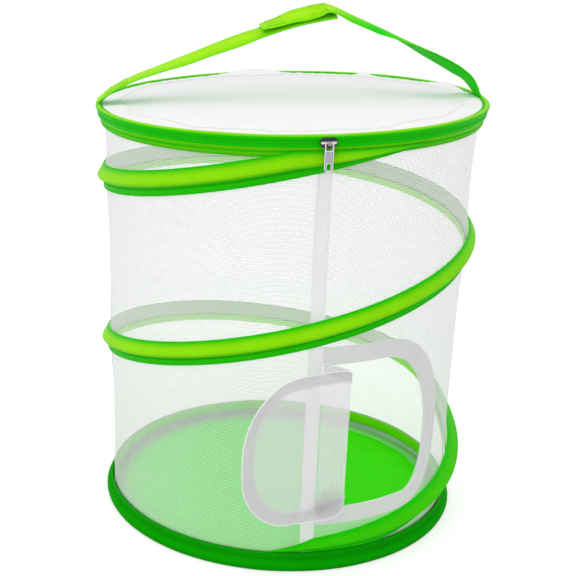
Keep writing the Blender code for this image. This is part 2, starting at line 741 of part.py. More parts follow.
def door_flap(white, tape_white, patch_white):
    root_place, middle_place, tip_place, bend = flap_frames()
    crease, tip_gap = CREASE_CLEARANCE, GAP / 2
    net_far = crease + NET_THICKNESS
    tape_near = net_far + GAP
    tape_far = tape_near + FLAP_TAPE_THICKNESS
    side, grow = FLAP_OVERLAP_SIDE, FLAP_OVERLAP
    root_start = SEAM_WIDTH / 2
    root_line = shifted(slice_outline(root_start, FLAP_CREASE - tip_gap, side, grow), FLAP_CREASE, -1)
    solid("door_net_root", *prism(root_line, root_place, -crease, -net_far), white)
    for band, end in zip(band_outlines(root_start, FLAP_CREASE - tip_gap), ("upper", "lower")):
        line = shifted(band, FLAP_CREASE, -1)
        solid(f"door_tape_root_{end}", *prism(line, root_place, -tape_near, -tape_far), tape_white)
    middle_slice = slice_outline(FLAP_CREASE + tip_gap, FLAP_BEND - tip_gap, side, grow)
    middle_line = shifted(middle_slice, FLAP_CREASE, 1)
    middle_net = solid("door_net_middle", *prism(middle_line, middle_place, crease, net_far), white)
    middle_tapes = []
    for band, end in zip(band_outlines(FLAP_CREASE + tip_gap, FLAP_BEND - tip_gap), ("upper", "lower")):
        line = shifted(band, FLAP_CREASE, 1)
        shell = prism(line, middle_place, tape_near, tape_far)
        middle_tapes.append(solid(f"door_tape_middle_{end}", *shell, tape_white))
    tip_line = shifted(slice_outline(FLAP_BEND + tip_gap, None, side, grow), FLAP_BEND, 1)
    tip_net = solid("door_net_tip", *prism(tip_line, tip_place, crease, net_far), white)
    tip_band = shifted(band_outlines(FLAP_BEND + tip_gap, None)[0], FLAP_BEND, 1)
    tip_tape = solid("door_tape_tip", *prism(tip_band, tip_place, tape_near, tape_far), tape_white)
    patch = door_patch(middle_place, tape_far + GAP, patch_white)
    fold = joint_axis("door_fold_axis", crease_point() + Vector((0.0, 0.0, DOOR_BOTTOM)))
    turn = joint_axis("door_bend_axis", bend + Vector((0.0, 0.0, DOOR_BOTTOM)), fold)
    carry(fold, [middle_net, patch] + middle_tapes)
    carry(turn, [tip_net, tip_tape])


def door_patch(place, near, material):
    """The round hook patch on the flap's lower corner."""
    centre_z = DOOR_BOTTOM - FLAP_OVERLAP + PATCH_FROM_BOTTOM
    radius = PATCH_DIAMETER / 2
    sides = RING_SIDES // 2
    outline = []
    for i in range(sides):
        angle = 2 * math.pi * i / sides
        outline.append((PATCH_FROM_CREASE + radius * math.cos(angle), centre_z + radius * math.sin(angle)))
    return solid("door_hook_patch", *prism(outline, place, near, near + PATCH_THICKNESS), material)


# Collar and zip
def zip_azimuths():
    front = -math.pi / 2
    return [front + RING_STEP * i for i in range(-ZIP_HALF_TURN_STEPS, ZIP_HALF_TURN_STEPS + 1)]


def collar(green, coil_green, steel):
    foot_in, top_in = SLEEVE_INSIDE, COLLAR_TOP_INSIDE
    skin = SLEEVE_CLOTH
    foot_corners = ((foot_in, COLLAR_FOOT), (foot_in + skin, COLLAR_FOOT))
    profile = foot_corners + ((top_in + skin, COLLAR_TOP), (top_in, COLLAR_TOP))
    pieces = [ring("collar_band", profile, green)]
    bead_top = ZIP_LINE - GAP / 2
    bead_low = bead_top - ZIP_BEAD_HEIGHT
    outer = ZIP_OUTSIDE
    slope = COLLAR_FLARE / COLLAR_HEIGHT
    leg_out = top_in - GAP
    leg_in = leg_out - TAPE_THICKNESS
    leg_end = COLLAR_TOP - ZIP_TAPE_DEPTH
    drop = ZIP_TAPE_DEPTH * slope
    profile = (
        (outer, bead_low),
        (outer, bead_top),
        (leg_in, bead_top),
        (leg_in - drop, leg_end),
        (leg_out - drop, leg_end),
        (leg_out, bead_low),
    )
    pieces.append(ring("zip_collar_chain", profile, coil_green, zip_azimuths()))
    return pieces + zip_stops(steel)


def zip_stops(steel):
    """A metal stop over the chain at each end of the zip."""
    stops = []
    ends = zip_azimuths()
    half = ZIP_BEAD_HEIGHT + GAP
    depth = (ZIP_OUTSIDE + GAP, ZIP_OUTSIDE + GAP + ZIP_STOP_DEPTH)
    for name, azimuth, way in (("zip_stop_left", ends[0], 1), ("zip_stop_right", ends[-1], -1)):
        turn = [azimuth, azimuth + way * ZIP_STOP_LENGTH / ZIP_OUTSIDE]
        low, high = ZIP_LINE - half, ZIP_LINE
        profile = ((depth[0], low), (depth[1], low), (depth[1], high), (depth[0], high))
        stops.append(ring(name, profile, steel, turn))
    return stops


# Lid
def piping_profile():
    """A cord cover: round over the wire, with two legs that close on the lid's edge."""
    profile = []
    for radius, leg_half, order in (
        (PIPING_RADIUS, NET_THICKNESS / 2 + GAP + CLOTH, 1),
        (PIPING_RADIUS - CLOTH, NET_THICKNESS / 2 + GAP, -1),
    ):
        arc = []
        for i in range(PIPING_ARC_STEPS + 1):
            angle = -PIPING_ARC + 2 * PIPING_ARC * i / PIPING_ARC_STEPS
            arc.append((HOOP_RADIUS + radius * math.cos(angle), HOOP_HEIGHT + radius * math.sin(angle)))
        leg = HOOP_RADIUS - PIPING_LEG
        path = [(leg, HOOP_HEIGHT - leg_half)] + arc + [(leg, HOOP_HEIGHT + leg_half)]
        profile += path[::order]
    return profile


def lid(green, white, coil_green, steel):
    pieces = [ring("lid_piping", piping_profile(), green)]
    joint = TOP_JOINT_STEP * RING_STEP + RING_STEP / 2
    pieces.append(hoop_wire("top_hoop_wire", HOOP_HEIGHT, joint, steel))
    pieces.append(ferrule("top_hoop_ferrule", HOOP_HEIGHT, joint, steel))
    radius = HOOP_RADIUS - LID_EDGE_TUCK
    edge = [ring_point(radius, RING_STEP * i, 0.0) for i in range(RING_SIDES)]
    outline = [(p.x, p.y) for p in edge]
    panel = prism(outline, lambda x, y, z: Vector((x, y, z)), LID_UNDERSIDE, LID_UNDERSIDE + NET_THICKNESS)
    pieces.append(solid("lid_net", *panel, white))
    hem_out = HOOP_RADIUS - PIPING_LEG - GAP
    low = LID_UNDERSIDE + NET_THICKNESS + GAP
    high = low + LID_HEM_THICKNESS
    hem_in = hem_out - LID_HEM_WIDTH
    pieces.append(ring("lid_hem", ((hem_in, low), (hem_out, low), (hem_out, high), (hem_in, high)), white))
    bead_low = ZIP_LINE + GAP / 2
    bead_top = bead_low + ZIP_BEAD_HEIGHT
    outer = ZIP_OUTSIDE
    inner = HOOP_RADIUS - PIPING_LEG
    step = COLLAR_TOP_INSIDE
    tape_top = HOOP_HEIGHT - PIPING_RADIUS - GAP
    profile = (
        (outer, bead_low),
        (outer, bead_top),
        (step, bead_top),
        (step, tape_top),
        (inner, tape_top),
        (inner, tape_top - TAPE_THICKNESS),
        (step - TAPE_THICKNESS, tape_top - TAPE_THICKNESS),
        (step - TAPE_THICKNESS, bead_low),
    )
    pieces.append(ring("zip_lid_chain", profile, coil_green, zip_azimuths()))
    pieces.append(hinge_tab(green))
    return pieces


def hinge_tab(green):
    """The short strip at the back, where the lid stays sewn to the collar."""
    middle = math.pi / 2
    half = HINGE_TAB_HALF_WIDTH / HOOP_RADIUS
    turn = [middle - half, middle, middle + half]
    low, high = COLLAR_TOP + GAP, HOOP_HEIGHT - PIPING_RADIUS - GAP
    outside = COLLAR_TOP_OUTSIDE
    profile = ((outside - CLOTH, low), (outside, low), (outside, high), (outside - CLOTH, high))
    return ring("lid_hinge_tab", profile, green, turn)


# Slider and pull
def slider_profile():
    """Section of the slider, (radius, height): a face plate with two lips over the zip."""
    face_in, face_out = SLIDER_FACE_INSIDE, SLIDER_FACE_OUTSIDE
    lip_in = ZIP_INSIDE
    reach = ZIP_BEAD_HEIGHT + 3 * GAP / 2
    low = ZIP_LINE - SLIDER_DROP
    high = low + SLIDER_HEIGHT
    return [
        (face_in, low),
        (face_out, low),
        (face_out, high),
        (face_in, high),
        (face_in, ZIP_LINE + reach + SLIDER_LIP),
        (lip_in, ZIP_LINE + reach + SLIDER_LIP),
        (lip_in, ZIP_LINE + reach),
        (face_in, ZIP_LINE + reach),
        (face_in, ZIP_LINE - reach),
        (lip_in, ZIP_LINE - reach),
        (lip_in, ZIP_LINE - reach - SLIDER_LIP),
        (face_in, ZIP_LINE - reach - SLIDER_LIP),
    ]


def pull_profile():
    """Outline of the pull tab in its own plane, with its window and its round hole."""
    half = PULL_WIDTH / 2
    top = PULL_BAR / 2
    round_centre = top - PULL_LENGTH + half
    outline = [(-half, top), (half, top)]
    for i in range(PULL_END_STEPS + 1):
        angle = math.pi * i / PULL_END_STEPS
        outline.append((half * math.cos(angle), round_centre - half * math.sin(angle)))
    return outline, round_centre


def frame_plate(outline, holes, place, near, far):
    """A plate with holes: its two faces are filled and joined by walls."""
    shape = bmesh.new()
    for loop in [outline] + holes:
        corners = [shape.verts.new((a, z, 0.0)) for a, z in loop]
        for i, corner in enumerate(corners):
            shape.edges.new((corner, corners[(i + 1) % len(corners)]))
    bmesh.ops.triangle_fill(shape, use_beauty=True, edges=shape.edges[:], use_dissolve=False)
    shape.verts.ensure_lookup_table()
    flat = [(v.co.x, v.co.y) for v in shape.verts]
    cells = [tuple(v.index for v in f.verts) for f in shape.faces]
    rim = [(e.verts[0].index, e.verts[1].index) for e in shape.edges if len(e.link_faces) == 1]
    shape.free()
    count = len(flat)
    points = [place(a, z, near) for a, z in flat] + [place(a, z, far) for a, z in flat]
    faces = cells + [tuple(count + i for i in reversed(c)) for c in cells]
    faces += [(a, b, count + b, count + a) for a, b in rim]
    return points, faces


def slider(metal, pull_metal):
    out = Vector((math.cos(SEAM_AZIMUTH), math.sin(SEAM_AZIMUTH), 0.0))
    along = turned(out, math.pi / 2)
    half = SLIDER_LENGTH / 2
    sections = []
    for end in (-half, half):
        sections.append([out * r + along * end + Vector((0.0, 0.0, z)) for r, z in slider_profile()])
    body = solid("zip_slider", *loft(sections, False), metal)
    face_out = SLIDER_FACE_OUTSIDE
    pivot_height = ZIP_LINE - SLIDER_DROP + SLIDER_HEIGHT / 2
    pivot_radius = face_out + (BRIDGE_DEPTH - BRIDGE_WALL) / 2
    bridge = slider_bridge(out, along, face_out, pivot_height, metal)
    outline, round_centre = pull_profile()
    window_half = PULL_WIDTH / 2 - PULL_RAIL
    window_top = -PULL_BAR / 2
    window = [
        (-window_half, window_top),
        (window_half, window_top),
        (window_half, window_top - PULL_WINDOW),
        (-window_half, window_top - PULL_WINDOW),
    ]
    hole_half = PULL_WIDTH / 2 - PULL_HOLE_RAIL
    hole = []
    for i in range(PULL_END_STEPS + 1):
        angle = math.pi * i / PULL_END_STEPS
        hole.append((hole_half * math.cos(angle), round_centre - hole_half * math.sin(angle)))
    hole += [(-hole_half, round_centre + PULL_HOLE / 2), (hole_half, round_centre + PULL_HOLE / 2)]
    pivot = out * pivot_radius + Vector((0.0, 0.0, pivot_height))
    place = local_frame(pivot, along, out)
    half_thick = PULL_THICKNESS / 2
    plate = frame_plate(outline, [window, hole], place, -half_thick, half_thick)
    tab = solid("zip_pull_tab", *plate, pull_metal)
    return body, bridge, tab, pivot


def slider_bridge(out, along, face_out, pivot_height, metal):
    """The arch on the slider's face that the pull hangs from."""
    start = face_out + GAP
    half = BRIDGE_HEIGHT / 2
    far = start + BRIDGE_DEPTH - GAP
    wall = BRIDGE_WALL
    profile = [
        (start, -half),
        (far - wall / 2, -half),
        (far, wall - half),
        (far, half - wall),
        (far - wall / 2, half),
        (start, half),
        (start, half - wall),
        (far - wall, half - wall),
        (far - wall, wall - half),
        (start, wall - half),
    ]
    sections = []
    for end in (-BRIDGE_WIDTH / 2, BRIDGE_WIDTH / 2):
        sections.append([out * r + along * end + Vector((0.0, 0.0, pivot_height + z)) for r, z in profile])
    return solid("zip_slider_bridge", *loft(sections, False), metal)


# Carry strap
def linear_at(table, place):
    for (x0, y0), (x1, y1) in zip(table, table[1:]):
        if place <= x1:
            return y0 + (y1 - y0) * (place - x0) / (x1 - x0)
    return table[-1][1]


def strap_base():
    """Height of the strap's middle line where it is sewn down on the lid's rim."""
    return CAGE_HEIGHT + GAP + STRAP_THICKNESS / 2


def strap_line(table, twists, start, stop, steps):
    """Points of a strap's middle line with the twist of the strap there."""
    line = []
    for share in steps_between(start, stop, steps):
        height = strap_base() + STRAP_RISE * smooth_at(table, share)
        line.append((STRAP_HALF_SPAN * share, height, STRAP_TWIST * linear_at(twists, share)))
    return line


def strap_sections(line):
    """Sections of a flat band along its line, mitred at each corner and twisted about its run."""
    sections, runs = [], []
    for i, (x, z, twist) in enumerate(line):
        before = line[max(i - 1, 0)]
        after = line[min(i + 1, len(line) - 1)]
        run_in = Vector((x - before[0], 0.0, z - before[1]))
        run_out = Vector((after[0] - x, 0.0, after[1] - z))
        run_in = (run_in if run_in.length else run_out).normalized()
        run_out = (run_out if run_out.length else run_in).normalized()
        run = (run_in + run_out).normalized()
        half = STRAP_THICKNESS / 2 / run.dot(run_in)
        spin = Matrix.Rotation(twist, 3, run)
        across = spin @ Vector((0.0, STRAP_WIDTH / 2, 0.0))
        normal = spin @ Vector((-run.z, 0.0, run.x)) * half
        centre = Vector((x, 0.0, z))
        sections.append([centre + across * a + normal * b for a, b in ((-1, -1), (1, -1), (1, 1), (-1, 1))])
        runs.append(run)
    return sections, runs


def cut_at(sections, runs, index):
    """Parts a swept band with a gap, by two faces square to the line that the strap swings about."""
    run, face = runs[index], sections[index]
    middle = sum((p.x for p in face), 0.0) / len(face)

    def slid_to(place):
        return [p + run * ((place - p.x) / run.x) for p in face]

    before = sections[:index] + [slid_to(middle - GAP / 2)]
    after = [slid_to(middle + GAP / 2)] + sections[index + 1:]
    return before, after


def in_triangles(points, faces):
    """Splits the skin's four-sided faces, which a twist leaves bent, each along one diagonal."""
    split = []
    for face in faces:
        split += [(face[0], face[i], face[i + 1]) for i in range(1, len(face) - 1)]
    return points, split


def strap(green):
    """The two straps: each is sewn to the rim by a fixed end, and to the other at the grip."""
    end_share = 1 - STRAP_END_LENGTH / STRAP_HALF_SPAN
    left, right = LEFT_STRAP_SHARES, RIGHT_STRAP_SHARES
    stand = STRAP_THICKNESS + STRAP_THICKNESS / 2 + GAP
    lower = strap_line(left, LEFT_TWIST_SHARES, -1.0, -end_share, STRAP_END_STEPS)
    lower += strap_line(left, LEFT_TWIST_SHARES, -end_share, left[-1][0], STRAP_STEPS)[1:]
    upper = strap_line(right, RIGHT_TWIST_SHARES, right[0][0], end_share, STRAP_STEPS)
    upper += strap_line(right, RIGHT_TWIST_SHARES, end_share, 1.0, STRAP_END_STEPS)[1:]
    upper_there = strap_base() + STRAP_RISE * smooth_at(right, left[-1][0])
    lower_there = strap_base() + STRAP_RISE * smooth_at(left, right[0][0])
    lower[-1] = (lower[-1][0], upper_there - stand, lower[-1][2])
    upper[0] = (upper[0][0], lower_there + stand, upper[0][2])
    left_end, left_strap = cut_at(*strap_sections(lower), STRAP_END_STEPS)
    right_strap, right_end = cut_at(*strap_sections(upper), len(upper) - 1 - STRAP_END_STEPS)
    ends = [
        solid("strap_end_left", *in_triangles(*loft(left_end, False)), green),
        solid("strap_end_right", *in_triangles(*loft(right_end, False)), green),
    ]
    straps = [
        solid("carry_strap_left", *in_triangles(*loft(left_strap, False)), green),
        solid("carry_strap_right", *in_triangles(*loft(right_strap, False)), green),
    ]
    return ends, straps


def handle_pivot():
    """The strap swings about the line through the two places where its ends are sewn down."""
    return Vector((0.0, 0.0, strap_base()))


def main():
    for thing in list(bpy.data.objects):
        bpy.data.objects.remove(thing, do_unlink=True)
    green = paint("green cloth", (0.045, 0.52, 0.006), 0.72)
    floor_green = paint("floor cloth", (0.06, 0.60, 0.01), 0.8)
    zip_green = paint("green zip", (0.02, 0.36, 0.004), 0.6)
    white_net = paint("white net", (0.85, 0.85, 0.86), 0.85, 0.0, 0.5)
    white_tape = paint("white tape", (0.80, 0.80, 0.82), 0.8)
    steel = paint("spring steel", (0.55, 0.55, 0.57), 0.35, 1.0)
    gunmetal = paint("dark plated metal", (0.10, 0.09, 0.14), 0.25, 1.0)
    pull_metal = paint("plated pull", (0.55, 0.52, 0.60), 0.3, 1.0)

    bottom(green, floor_green, white_tape, steel)
    spring(green, steel)
    net_wall(white_net)
    seam_strip(white_tape)
    door_border(white_tape)
    door_flap(white_net, white_tape, white_tape)

    top = joint_axis("collapse_axis", Vector((0.0, 0.0, COLLAR_FOOT)))
    carry(top, collar(green, zip_green, steel))
    lid_axis = joint_axis("lid_axis", Vector((0.0, PIPING_OUTSIDE, ZIP_LINE)), top)
    carry(lid_axis, lid(green, white_net, zip_green, steel))
    strap_ends, strap_pieces = strap(green)
    carry(lid_axis, strap_ends)
    carry(joint_axis("strap_axis", handle_pivot(), lid_axis), strap_pieces)
    body, bridge, tab, pivot = slider(gunmetal, pull_metal)
    slide_axis = joint_axis("zip_slider_axis", Vector((0.0, 0.0, ZIP_LINE)), top)
    carry(slide_axis, [body, bridge])
    carry(joint_axis("zip_pull_axis", pivot, slide_axis), [tab])


main()
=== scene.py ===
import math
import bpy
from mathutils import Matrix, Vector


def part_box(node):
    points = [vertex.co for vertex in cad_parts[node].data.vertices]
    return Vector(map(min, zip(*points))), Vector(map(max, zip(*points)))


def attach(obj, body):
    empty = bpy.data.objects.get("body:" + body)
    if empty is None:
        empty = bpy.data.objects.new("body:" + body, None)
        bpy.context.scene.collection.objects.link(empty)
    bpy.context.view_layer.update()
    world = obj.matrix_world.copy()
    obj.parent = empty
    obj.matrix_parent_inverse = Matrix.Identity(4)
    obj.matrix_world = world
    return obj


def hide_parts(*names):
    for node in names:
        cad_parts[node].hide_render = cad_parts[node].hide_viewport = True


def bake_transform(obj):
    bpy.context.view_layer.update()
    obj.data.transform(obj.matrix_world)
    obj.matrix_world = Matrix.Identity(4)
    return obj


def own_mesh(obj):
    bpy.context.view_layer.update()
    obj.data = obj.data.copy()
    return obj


bl_info = {
    "name": "Pop-up Insect Cage",
    "version": (1, 0, 0),
    "blender": (4, 5, 0),
    "location": "View3D > Sidebar > Cage",
    "description": "Dresses a net insect cage: sleeves on spring wire, net, zipped lid and net door",
    "category": "Object",
}

import bmesh
import bpy
import numpy as np
from bpy.props import FloatProperty, FloatVectorProperty, IntProperty, PointerProperty
from mathutils import Matrix, Vector

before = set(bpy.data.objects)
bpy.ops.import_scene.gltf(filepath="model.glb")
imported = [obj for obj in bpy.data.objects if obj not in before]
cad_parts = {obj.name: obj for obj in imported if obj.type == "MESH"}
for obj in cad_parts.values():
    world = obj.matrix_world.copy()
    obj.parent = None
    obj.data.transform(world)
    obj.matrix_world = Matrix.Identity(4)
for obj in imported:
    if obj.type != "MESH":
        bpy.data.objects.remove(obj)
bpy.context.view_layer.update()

# Places that the frame gives
HOOP_WIRE = 0.00075
HOOP_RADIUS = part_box("top_hoop_wire")[1][0] - HOOP_WIRE
CAGE_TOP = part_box("lid_piping")[1][2]
NET_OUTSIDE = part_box("net_wall")[1][0]
NET_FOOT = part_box("net_wall")[0][2]
NET_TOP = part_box("net_wall")[1][2]
COLLAR_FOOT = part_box("collar_band")[0][2]
COLLAR_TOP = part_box("collar_band")[1][2]
COLLAR_TOP_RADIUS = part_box("collar_band")[1][0]
SLEEVE_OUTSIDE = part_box("spring_sleeve")[1][0] - 0.0003
BOTTOM_SLEEVE_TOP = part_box("bottom_sleeve")[1][2]
FLOOR_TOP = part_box("floor_panel")[1][2]
LID_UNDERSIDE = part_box("lid_net")[0][2]
ZIP_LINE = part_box("zip_lid_chain")[0][2] - 0.00015
SEAM_AZIMUTH = math.radians(-87.6)
SEAM_HALF = (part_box("wall_seam_strip")[1][0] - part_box("wall_seam_strip")[0][0]) / 2
SLIDER_MIDDLE = (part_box("zip_slider")[0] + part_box("zip_slider")[1]) / 2
SLIDER_AZIMUTH = math.atan2(SLIDER_MIDDLE[1], SLIDER_MIDDLE[0])

# Layers on the wall: how far off it they lie, and how thick they are
CLOTH = 0.0007
SLEEVE_LIFT = 0.001
TAPE_LIFT = 0.0005
TAPE_THICK = 0.0004
STITCH_SHARE = 0.84
# Net: how much scattered light it lets by, what a hole covers and how much more a thread does
NET_LETS_BY = 0.88
NET_COVER = (0.03, 0.83)

# Spring route: turns from its upper end, and the sleeve's lower edge as a share of the height
SPRING_START = math.radians(-75.0)
SPRING_HEAD = -0.05
SPRING_TAIL = 2.03
SPRING_TURNS = 2.064
SPRING_ROUTE_SHARES = (
    (0.0, 0.942), (0.236, 0.821), (0.569, 0.747), (0.883, 0.640), (1.236, 0.426), (1.569, 0.283),
    (1.70, 0.245), (1.735, 0.226), (1.80, 0.152), (1.892, 0.080), (2.042, 0.019),
)
# Painted highlight along the spring's turns: brightest on the left, weaker back and right, faint at the
# bottom
SPRING_HIGHLIGHT = (
    (-0.05, 0.75), (0.29, 1.0), (0.54, 0.7), (0.79, 0.6), (1.04, 0.85), (1.29, 1.0), (1.54, 0.6),
    (1.79, 0.2), (2.07, 0.08),
)

# Sleeve: how far it stands from the wall and its painted highlight, by its height above the hem
SLEEVE_HEIGHT = 0.019
SLEEVE_LEAST = 0.0008
SLEEVE_HEM = 0.0056
COLLAR_LAP = 0.0044
SLEEVE_STAND = (
    (0.0, 0.0), (0.1, 0.62), (0.2, 0.92), (0.29, 1.0), (0.38, 0.95), (0.6, 0.6), (0.8, 0.28), (1.0, 0.02),
)
SLEEVE_HIGHLIGHT = (
    (0.0, 0.0), (0.06, 0.15), (0.15, 0.6), (0.3, 0.95), (0.45, 1.0), (0.65, 0.95), (0.8, 0.55),
    (0.9, 0.1), (1.0, 0.0),
)
SLEEVE_SHARES = (0.05, 0.1, 0.16, 0.22, 0.29, 0.36, 0.44, 0.53, 0.62, 0.72, 0.82, 0.92)
WIRE_SHARE = 0.29
FILLS_FROM = 1.6
# Where the sleeve stands out further on the right: turns, half width in turns and distance
SIDE_BULGE = (1.84, 0.10, 0.004)
# Tone that gives the cloth a painted backlight, as if lit through from outside
LIT = 2.0

# Door outline along the wall from the seam, and up from the ground
DOOR_WIDTH = 0.104
DOOR_TOP = 0.170
DOOR_BOTTOM = 0.052
DOOR_SHOULDER = (0.050, 0.071)
DOOR_HEEL = (0.022, 0.036)
SLIVER = 1e-6

# Door flap, in the same measures
FLAP_CREASE = 0.026
FLAP_BEND = 0.067
FLAP_END = DOOR_WIDTH + 0.009
FLAP_OVERLAP = 0.003
FLAP_DROOP = 0.0055
FLAP_HEM = 0.009
FLAP_SHOULDER = (0.044, 0.060)
FLAP_HEEL = (0.042, 0.048)
# Its layers: how far off it each lies, and how thick it is
FLAP_NET = (0.0001, 0.0002)
FLAP_HEM_CLOTH = (0.0006, 0.0003)
FLAP_BEAD = (0.0007, 0.0005)
FLAP_STITCH_LIFT = 0.0010
FLAP_HOOK_LIFT = 0.0024

# Lid, the room round its middle where a disc is closed, and the folds that stand over its rim by
# azimuth in degrees, half width and height
LID_EDGE = HOOP_RADIUS - 0.0017
PIPING_HEIGHT = CAGE_TOP - 0.0021
DISC_HOLE = 0.006
LID_FOLDS = ((96.0, 9.0, 0.0046), (55.0, 2.5, 0.0036), (17.0, 8.0, 0.0042))

# Zip: how far each half runs from the front, and half the slit between the halves
ZIP_REACH_DEGREES = 173.0
ZIP_SLIT = 0.00012

# Strap: place across the cage and height, as shares, and twist in degrees
STRAP_BASE = CAGE_TOP + 0.0010
STRAP_RISE = 0.0685
STRAP_WIDTH = 0.022
STRAP_THICKNESS = 0.0015
STRAP_STEPS = 110
LEFT_STRAP = (
    (-1.0, 0.0, 0.0), (-0.921, 0.116, 1.0), (-0.813, 0.227, 3.0), (-0.678, 0.325, 6.0),
    (-0.542, 0.417, 12.0), (-0.407, 0.518, 14.0), (-0.271, 0.614, 17.0), (-0.149, 0.700, 14.0),
    (0.0, 0.795, 14.0), (0.122, 0.843, 12.0), (0.224, 0.870, 10.0),
)
RIGHT_STRAP = (
    (-0.156, 0.755, 5.0), (-0.068, 0.805, 12.0), (0.0, 0.856, 18.0), (0.081, 0.890, 21.0),
    (0.136, 0.920, 19.0), (0.176, 0.940, 12.0), (0.230, 0.912, 8.0), (0.305, 0.842, 6.0),
    (0.407, 0.752, 2.0), (0.508, 0.658, -3.0), (0.610, 0.552, -9.0), (0.711, 0.436, -14.0),
    (0.799, 0.339, -17.0), (0.870, 0.250, -17.0), (0.935, 0.150, -10.0), (0.985, 0.0, 0.0),
)
# How far each strap's near edge curls down beside the grip
LEFT_CURL = ((-1.0, 0.0), (1.0, 0.0))
RIGHT_CURL = ((-1.0, 0.0), (0.2, 0.0), (0.3, 0.002), (0.45, 0.0032), (0.6, 0.0014), (0.72, 0.0), (1.0, 0.0))

# Camera, fitted to the photograph
PHOTO_WIDTH = 576
CAMERA_PLACE = (-0.1259, -0.8901, 0.480)
CAMERA_PITCH = math.radians(23.77)
CAMERA_ROLL = math.radians(1.15)
FOCAL_PIXELS = 1127.0
PRINCIPAL_PIXEL = (131.9, 394.0)


# Settings that a user would change
def metres(name, description, default):
    return FloatProperty(name=name, description=description, default=default, unit="LENGTH")


def fraction(name, description, default):
    return FloatProperty(name=name, description=description, default=default, subtype="FACTOR")


def watts(name, description, default):
    return FloatProperty(name=name, description=description, default=default, unit="POWER")


def rgb(name, description, *default):
    return FloatVectorProperty(name=name, description=description, default=default, subtype="COLOR")


class CageSizes(bpy.types.PropertyGroup):
    """Sizes of the cage's cloth that a user would change."""

    net_pitch: metres("Net pitch", "Distance between the net's holes", 0.0019)
    wall_thread: fraction("Wall thread", "Wall net's thread as a share of the pitch", 0.05)
    lid_thread: fraction("Lid thread", "Lid net's thread as a share of the pitch", 0.58)
    hem_thread: fraction("Hem thread", "Doubled net's thread as a share of the pitch", 0.46)
    net_thickness: metres("Net thickness", "Thickness of the knitted net", 0.0002)
    net_waist: metres("Net waist", "How far the net draws in between the rings", 0.0014)
    weave_pitch: metres("Weave pitch", "Distance between threads of the green cloth", 0.0006)
    stitch_length: metres("Stitch length", "Length of one sewn stitch", 0.0026)
    stitch_width: metres("Stitch width", "Thickness of the sewing thread", 0.00045)
    tooth_pitch: metres("Zip tooth pitch", "Distance between the zip's teeth", 0.0015)
    ring_steps: IntProperty(name="Ring steps", description="Steps round the cage", default=288, min=48)


class CageColours(bpy.types.PropertyGroup):
    """Colours of the cage's materials, in scene-linear values."""

    cloth_deep: rgb("Cloth, slack", "Green cloth where it lies slack", 0.005, 0.56, 0.002)
    # The next colour is a painted highlight: the yellow-green that light gives the green cloth
    cloth_highlight: rgb("Cloth, taut", "Green cloth pulled over a wire", 0.30, 0.78, 0.004)
    # The next colour is painted backlight: a pale tone for light coming through the cloth
    cloth_lit: rgb("Cloth, lit through", "Green cloth with light behind it", 0.62, 0.97, 0.50)
    floor: rgb("Floor cloth", "Cloth floor", 0.045, 0.78, 0.003)
    net: rgb("Net", "Thread of the knitted net", 0.945, 0.925, 0.95)
    tape: rgb("White tape", "Seam and door tapes", 0.80, 0.81, 0.80)
    steel: rgb("Steel", "Hoops, spring and zip stops", 0.56, 0.56, 0.58)
    # The next colour is dark to stand for the dark room the slider reflects: painted reflection
    slider: rgb("Zip slider", "Dark plated slider", 0.045, 0.045, 0.06)
    pull: rgb("Zip pull", "Pale plated pull", 0.24, 0.225, 0.29)
    # The next colour is the painted highlight on the ridges of the slider and pull
    metal_highlight: rgb("Rubbed metal", "Plating rubbed bright on its ridges", 0.86, 0.86, 0.88)


class CageLight(bpy.types.PropertyGroup):
    """The studio's light."""

    world: FloatProperty(name="World", description="Strength of the even light", default=0.8)
    key: watts("Key", "Power of the light from the front left", 12.0)
    fill: watts("Fill", "Power of the light from the right", 2.0)
    top: watts("Top", "Power of the light from above", 1.6)


def sizes():
    return bpy.context.scene.cage_sizes


def colours():
    return bpy.context.scene.cage_colours


# Curves and tables
def steps(low, high, count):
    return [low + (high - low) * i / count for i in range(count + 1)]


def closing_steps(start, width, count):
    """Places that come closer together towards their end."""
    return [start + width * math.sin(math.pi / 2 * i / count) for i in range(count + 1)]


def steps_between(levels, counts):
    """Places from level to level, with a number of steps between each two."""
    places = []
    for low, high, count in zip(levels, levels[1:], counts):
        places += steps(low, high, count)[:-1]
    return places + [levels[-1]]


def round_azimuths(count):
    return [math.tau * i / count for i in range(count)]


def unit(value):
    return min(max(value, 0.0), 1.0)


def bell(away, width):
    return math.exp(-((away / width) ** 2))


def round_off(reach):
    """Height that is left of a quarter round at a share of its width."""
    reach = unit(reach)
    return math.sqrt(1 - reach * reach)


def smooth_at(table, place):
    """Reads a table of (place, value) pairs as a smooth curve through its points."""
    index = 0
    while index < len(table) - 2 and place > table[index + 1][0]:
        index += 1
    x1, y1 = table[index]
    x2, y2 = table[index + 1]
    x0, y0 = table[max(index - 1, 0)]
    x3, y3 = table[min(index + 2, len(table) - 1)]
    width = x2 - x1
    t = (place - x1) / width
    slope_in = (y2 - y0) / (x2 - x0)
    slope_out = (y3 - y1) / (x3 - x1)
    blend_in = t * (1 - t) ** 2 * width * slope_in
    blend_out = t * t * (t - 1) * width * slope_out
    return y1 * (1 + 2 * t) * (1 - t) ** 2 + y2 * t * t * (3 - 2 * t) + blend_in + blend_out


def linear_at(table, place):
    for (x0, y0), (x1, y1) in zip(table, table[1:]):
        if place <= x1:
            return y0 + (y1 - y0) * (place - x0) / (x1 - x0)
    return table[-1][1]


